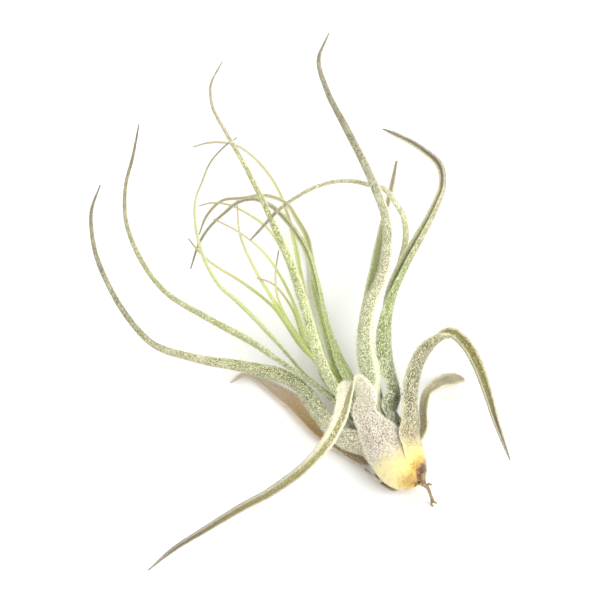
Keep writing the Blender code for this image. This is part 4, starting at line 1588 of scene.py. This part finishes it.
# Runs of root: x, y, z along each, with its width at its start.
ROOT_RUNS = [
    (1.3, [(5.7, -11.3, 8), (7.3, -11.7, 7.4), (8.5, -12.2, 5.5), (9.3, -13, 3.1), (9.6, -13.8, 1)]),
    (0.9, [(9.3, -13, 3.1), (9.9, -13.9, 1.8), (10.9, -14.3, 1.2)]),
    (0.8, [(9.5, -13.5, 1.8), (9.4, -14.6, 1.1), (9.9, -15.3, 0.7)]),
    (0.9, [(7.6, -11.8, 7), (8.6, -11.3, 7.1), (9.3, -11.1, 6.6)]),
    (1.9, [(6.4, -9.3, 10.6), (6.9, -10.6, 9.2), (7.3, -11.5, 7.6)]),
]


@dataclass(frozen=True)
class Lamp:
    """One soft square light: where it hangs in metres, the length of its side and its power in watts."""

    name: str
    place: Triple
    size: float
    power: float

    def hang(self, target: Vector) -> None:
        """Hang the light so that it faces a place.

        Args:
            target: The place in metres.
        """
        lamp = bpy.data.lights.new(self.name, "AREA")
        lamp.size = self.size
        lamp.energy = self.power
        item = bpy.data.objects.new(self.name, lamp)
        item.location = self.place
        item.rotation_euler = (target - item.location).to_track_quat("-Z", "Y").to_euler()
        bpy.context.scene.collection.objects.link(item)


@dataclass(frozen=True)
class Studio:
    """A pale table under plain soft light, with the camera high in front of the plant.

    target is the spot that the camera faces, in millimetres, and elevation is how many degrees above the
    table the camera stands. The table is cloudy between its two colours.
    """

    target: Vector = Vector((-27.7, 58.4, 0.0)).freeze()
    elevation: float = 60.0
    lens: float = 800.0
    distance: float = 4.0
    farthest: float = 20.0
    lamps: tuple[Lamp, ...] = (Lamp("key", (0.8, -0.4, 1.0), 1.0, 14.0),
                               Lamp("fill", (-0.7, 0.5, 1.1), 1.4, 3.0))
    sky_power: float = 1.0
    table_size: float = 3.0
    table_drop: float = 0.0002
    table_colours: tuple[Colour, Colour] = ((246, 246, 245), (250, 250, 250))
    cloud_scale: float = 6.0

    def build(self) -> None:
        """Set the table, the lights and the camera."""
        self.table()
        for lamp in self.lamps:
            lamp.hang(self.target * MM)
        world = bpy.data.worlds.new("studio")
        bpy.context.scene.world = world
        world.use_nodes = True
        sky = world.node_tree.nodes["Background"]
        sky.inputs[0].default_value = (1, 1, 1, 1)
        sky.inputs[1].default_value = self.sky_power
        bpy.context.scene.view_settings.view_transform = "Standard"
        self.camera()

    def table(self) -> None:
        """Lay the table top."""
        mesh = bmesh.new()
        bmesh.ops.create_grid(mesh, x_segments=2, y_segments=2, size=self.table_size / 2)
        bmesh.ops.translate(mesh, verts=mesh.verts, vec=(0, 0, -self.table_drop))
        data = bpy.data.meshes.new("table")
        mesh.to_mesh(data)
        mesh.free()
        item = bpy.data.objects.new("table", data)
        bpy.context.scene.collection.objects.link(item)
        graph = Graph("table_top")
        dark, pale = map(paint, self.table_colours)
        graph.coat(graph.mix(graph.speckle(graph.place(), self.cloud_scale), dark, pale), 0.8)
        dress(item, graph.material)

    def camera(self) -> None:
        """Stand the camera back along its line of sight."""
        lens = bpy.data.cameras.new("camera")
        lens.lens = self.lens
        lens.clip_end = self.farthest
        item = bpy.data.objects.new("camera", lens)
        rise = math.radians(self.elevation)
        sight = Vector((0, -math.cos(rise), math.sin(rise)))
        item.location = self.target * MM + sight * self.distance
        item.rotation_euler = sight.to_track_quat("Z", "Y").to_euler()
        bpy.context.scene.collection.objects.link(item)
        bpy.context.scene.camera = item


def dress(item: bpy.types.Object, material: bpy.types.Material) -> None:
    """Give a piece its material."""
    item.data.materials.append(material)


def main() -> None:
    """Build the plant's sub-assemblies in order and set the studio."""
    logging.basicConfig(level=logging.INFO, format="%(message)s")
    noise.seed_set(SWAY_SEED)
    for leaf in LEAVES:
        blade, surface = leaf.build()
        dress(blade, LeafSkin(leaf.finish).make(leaf.name + "_skin"))
        coat = ScaleCoat(leaf.name, leaf.slot, leaf.finish.coat).build(surface)
        dress(coat, ScaleFinish(leaf.finish).make(leaf.name + "_silver"))
    young_skin = LeafSkin(YOUNG_FINISH).make("young_skin")
    young_silver = ScaleFinish(YOUNG_FINISH).make("young_silver")
    heart = Heart(YOUNG_LEAVES)
    for item, surface in heart.build():
        dress(item, young_skin)
        if item.name != heart.core_name:
            coat = ScaleCoat(item.name, Slot.YOUNG, YOUNG_FINISH.coat, length=0.4, width=0.14)
            dress(coat.build(surface), young_silver)
    dress(Stem().build(), SCAR_BARK.make("scar_bark"))
    dress(Shreds().build(), FIBRE_BARK.make("fibre_bark"))
    root_skin = ROOT_BARK.make("root_skin")
    for run in Roots(ROOT_RUNS).build():
        dress(run, root_skin)
    Studio().build()


if __name__ == "__main__":
    main()
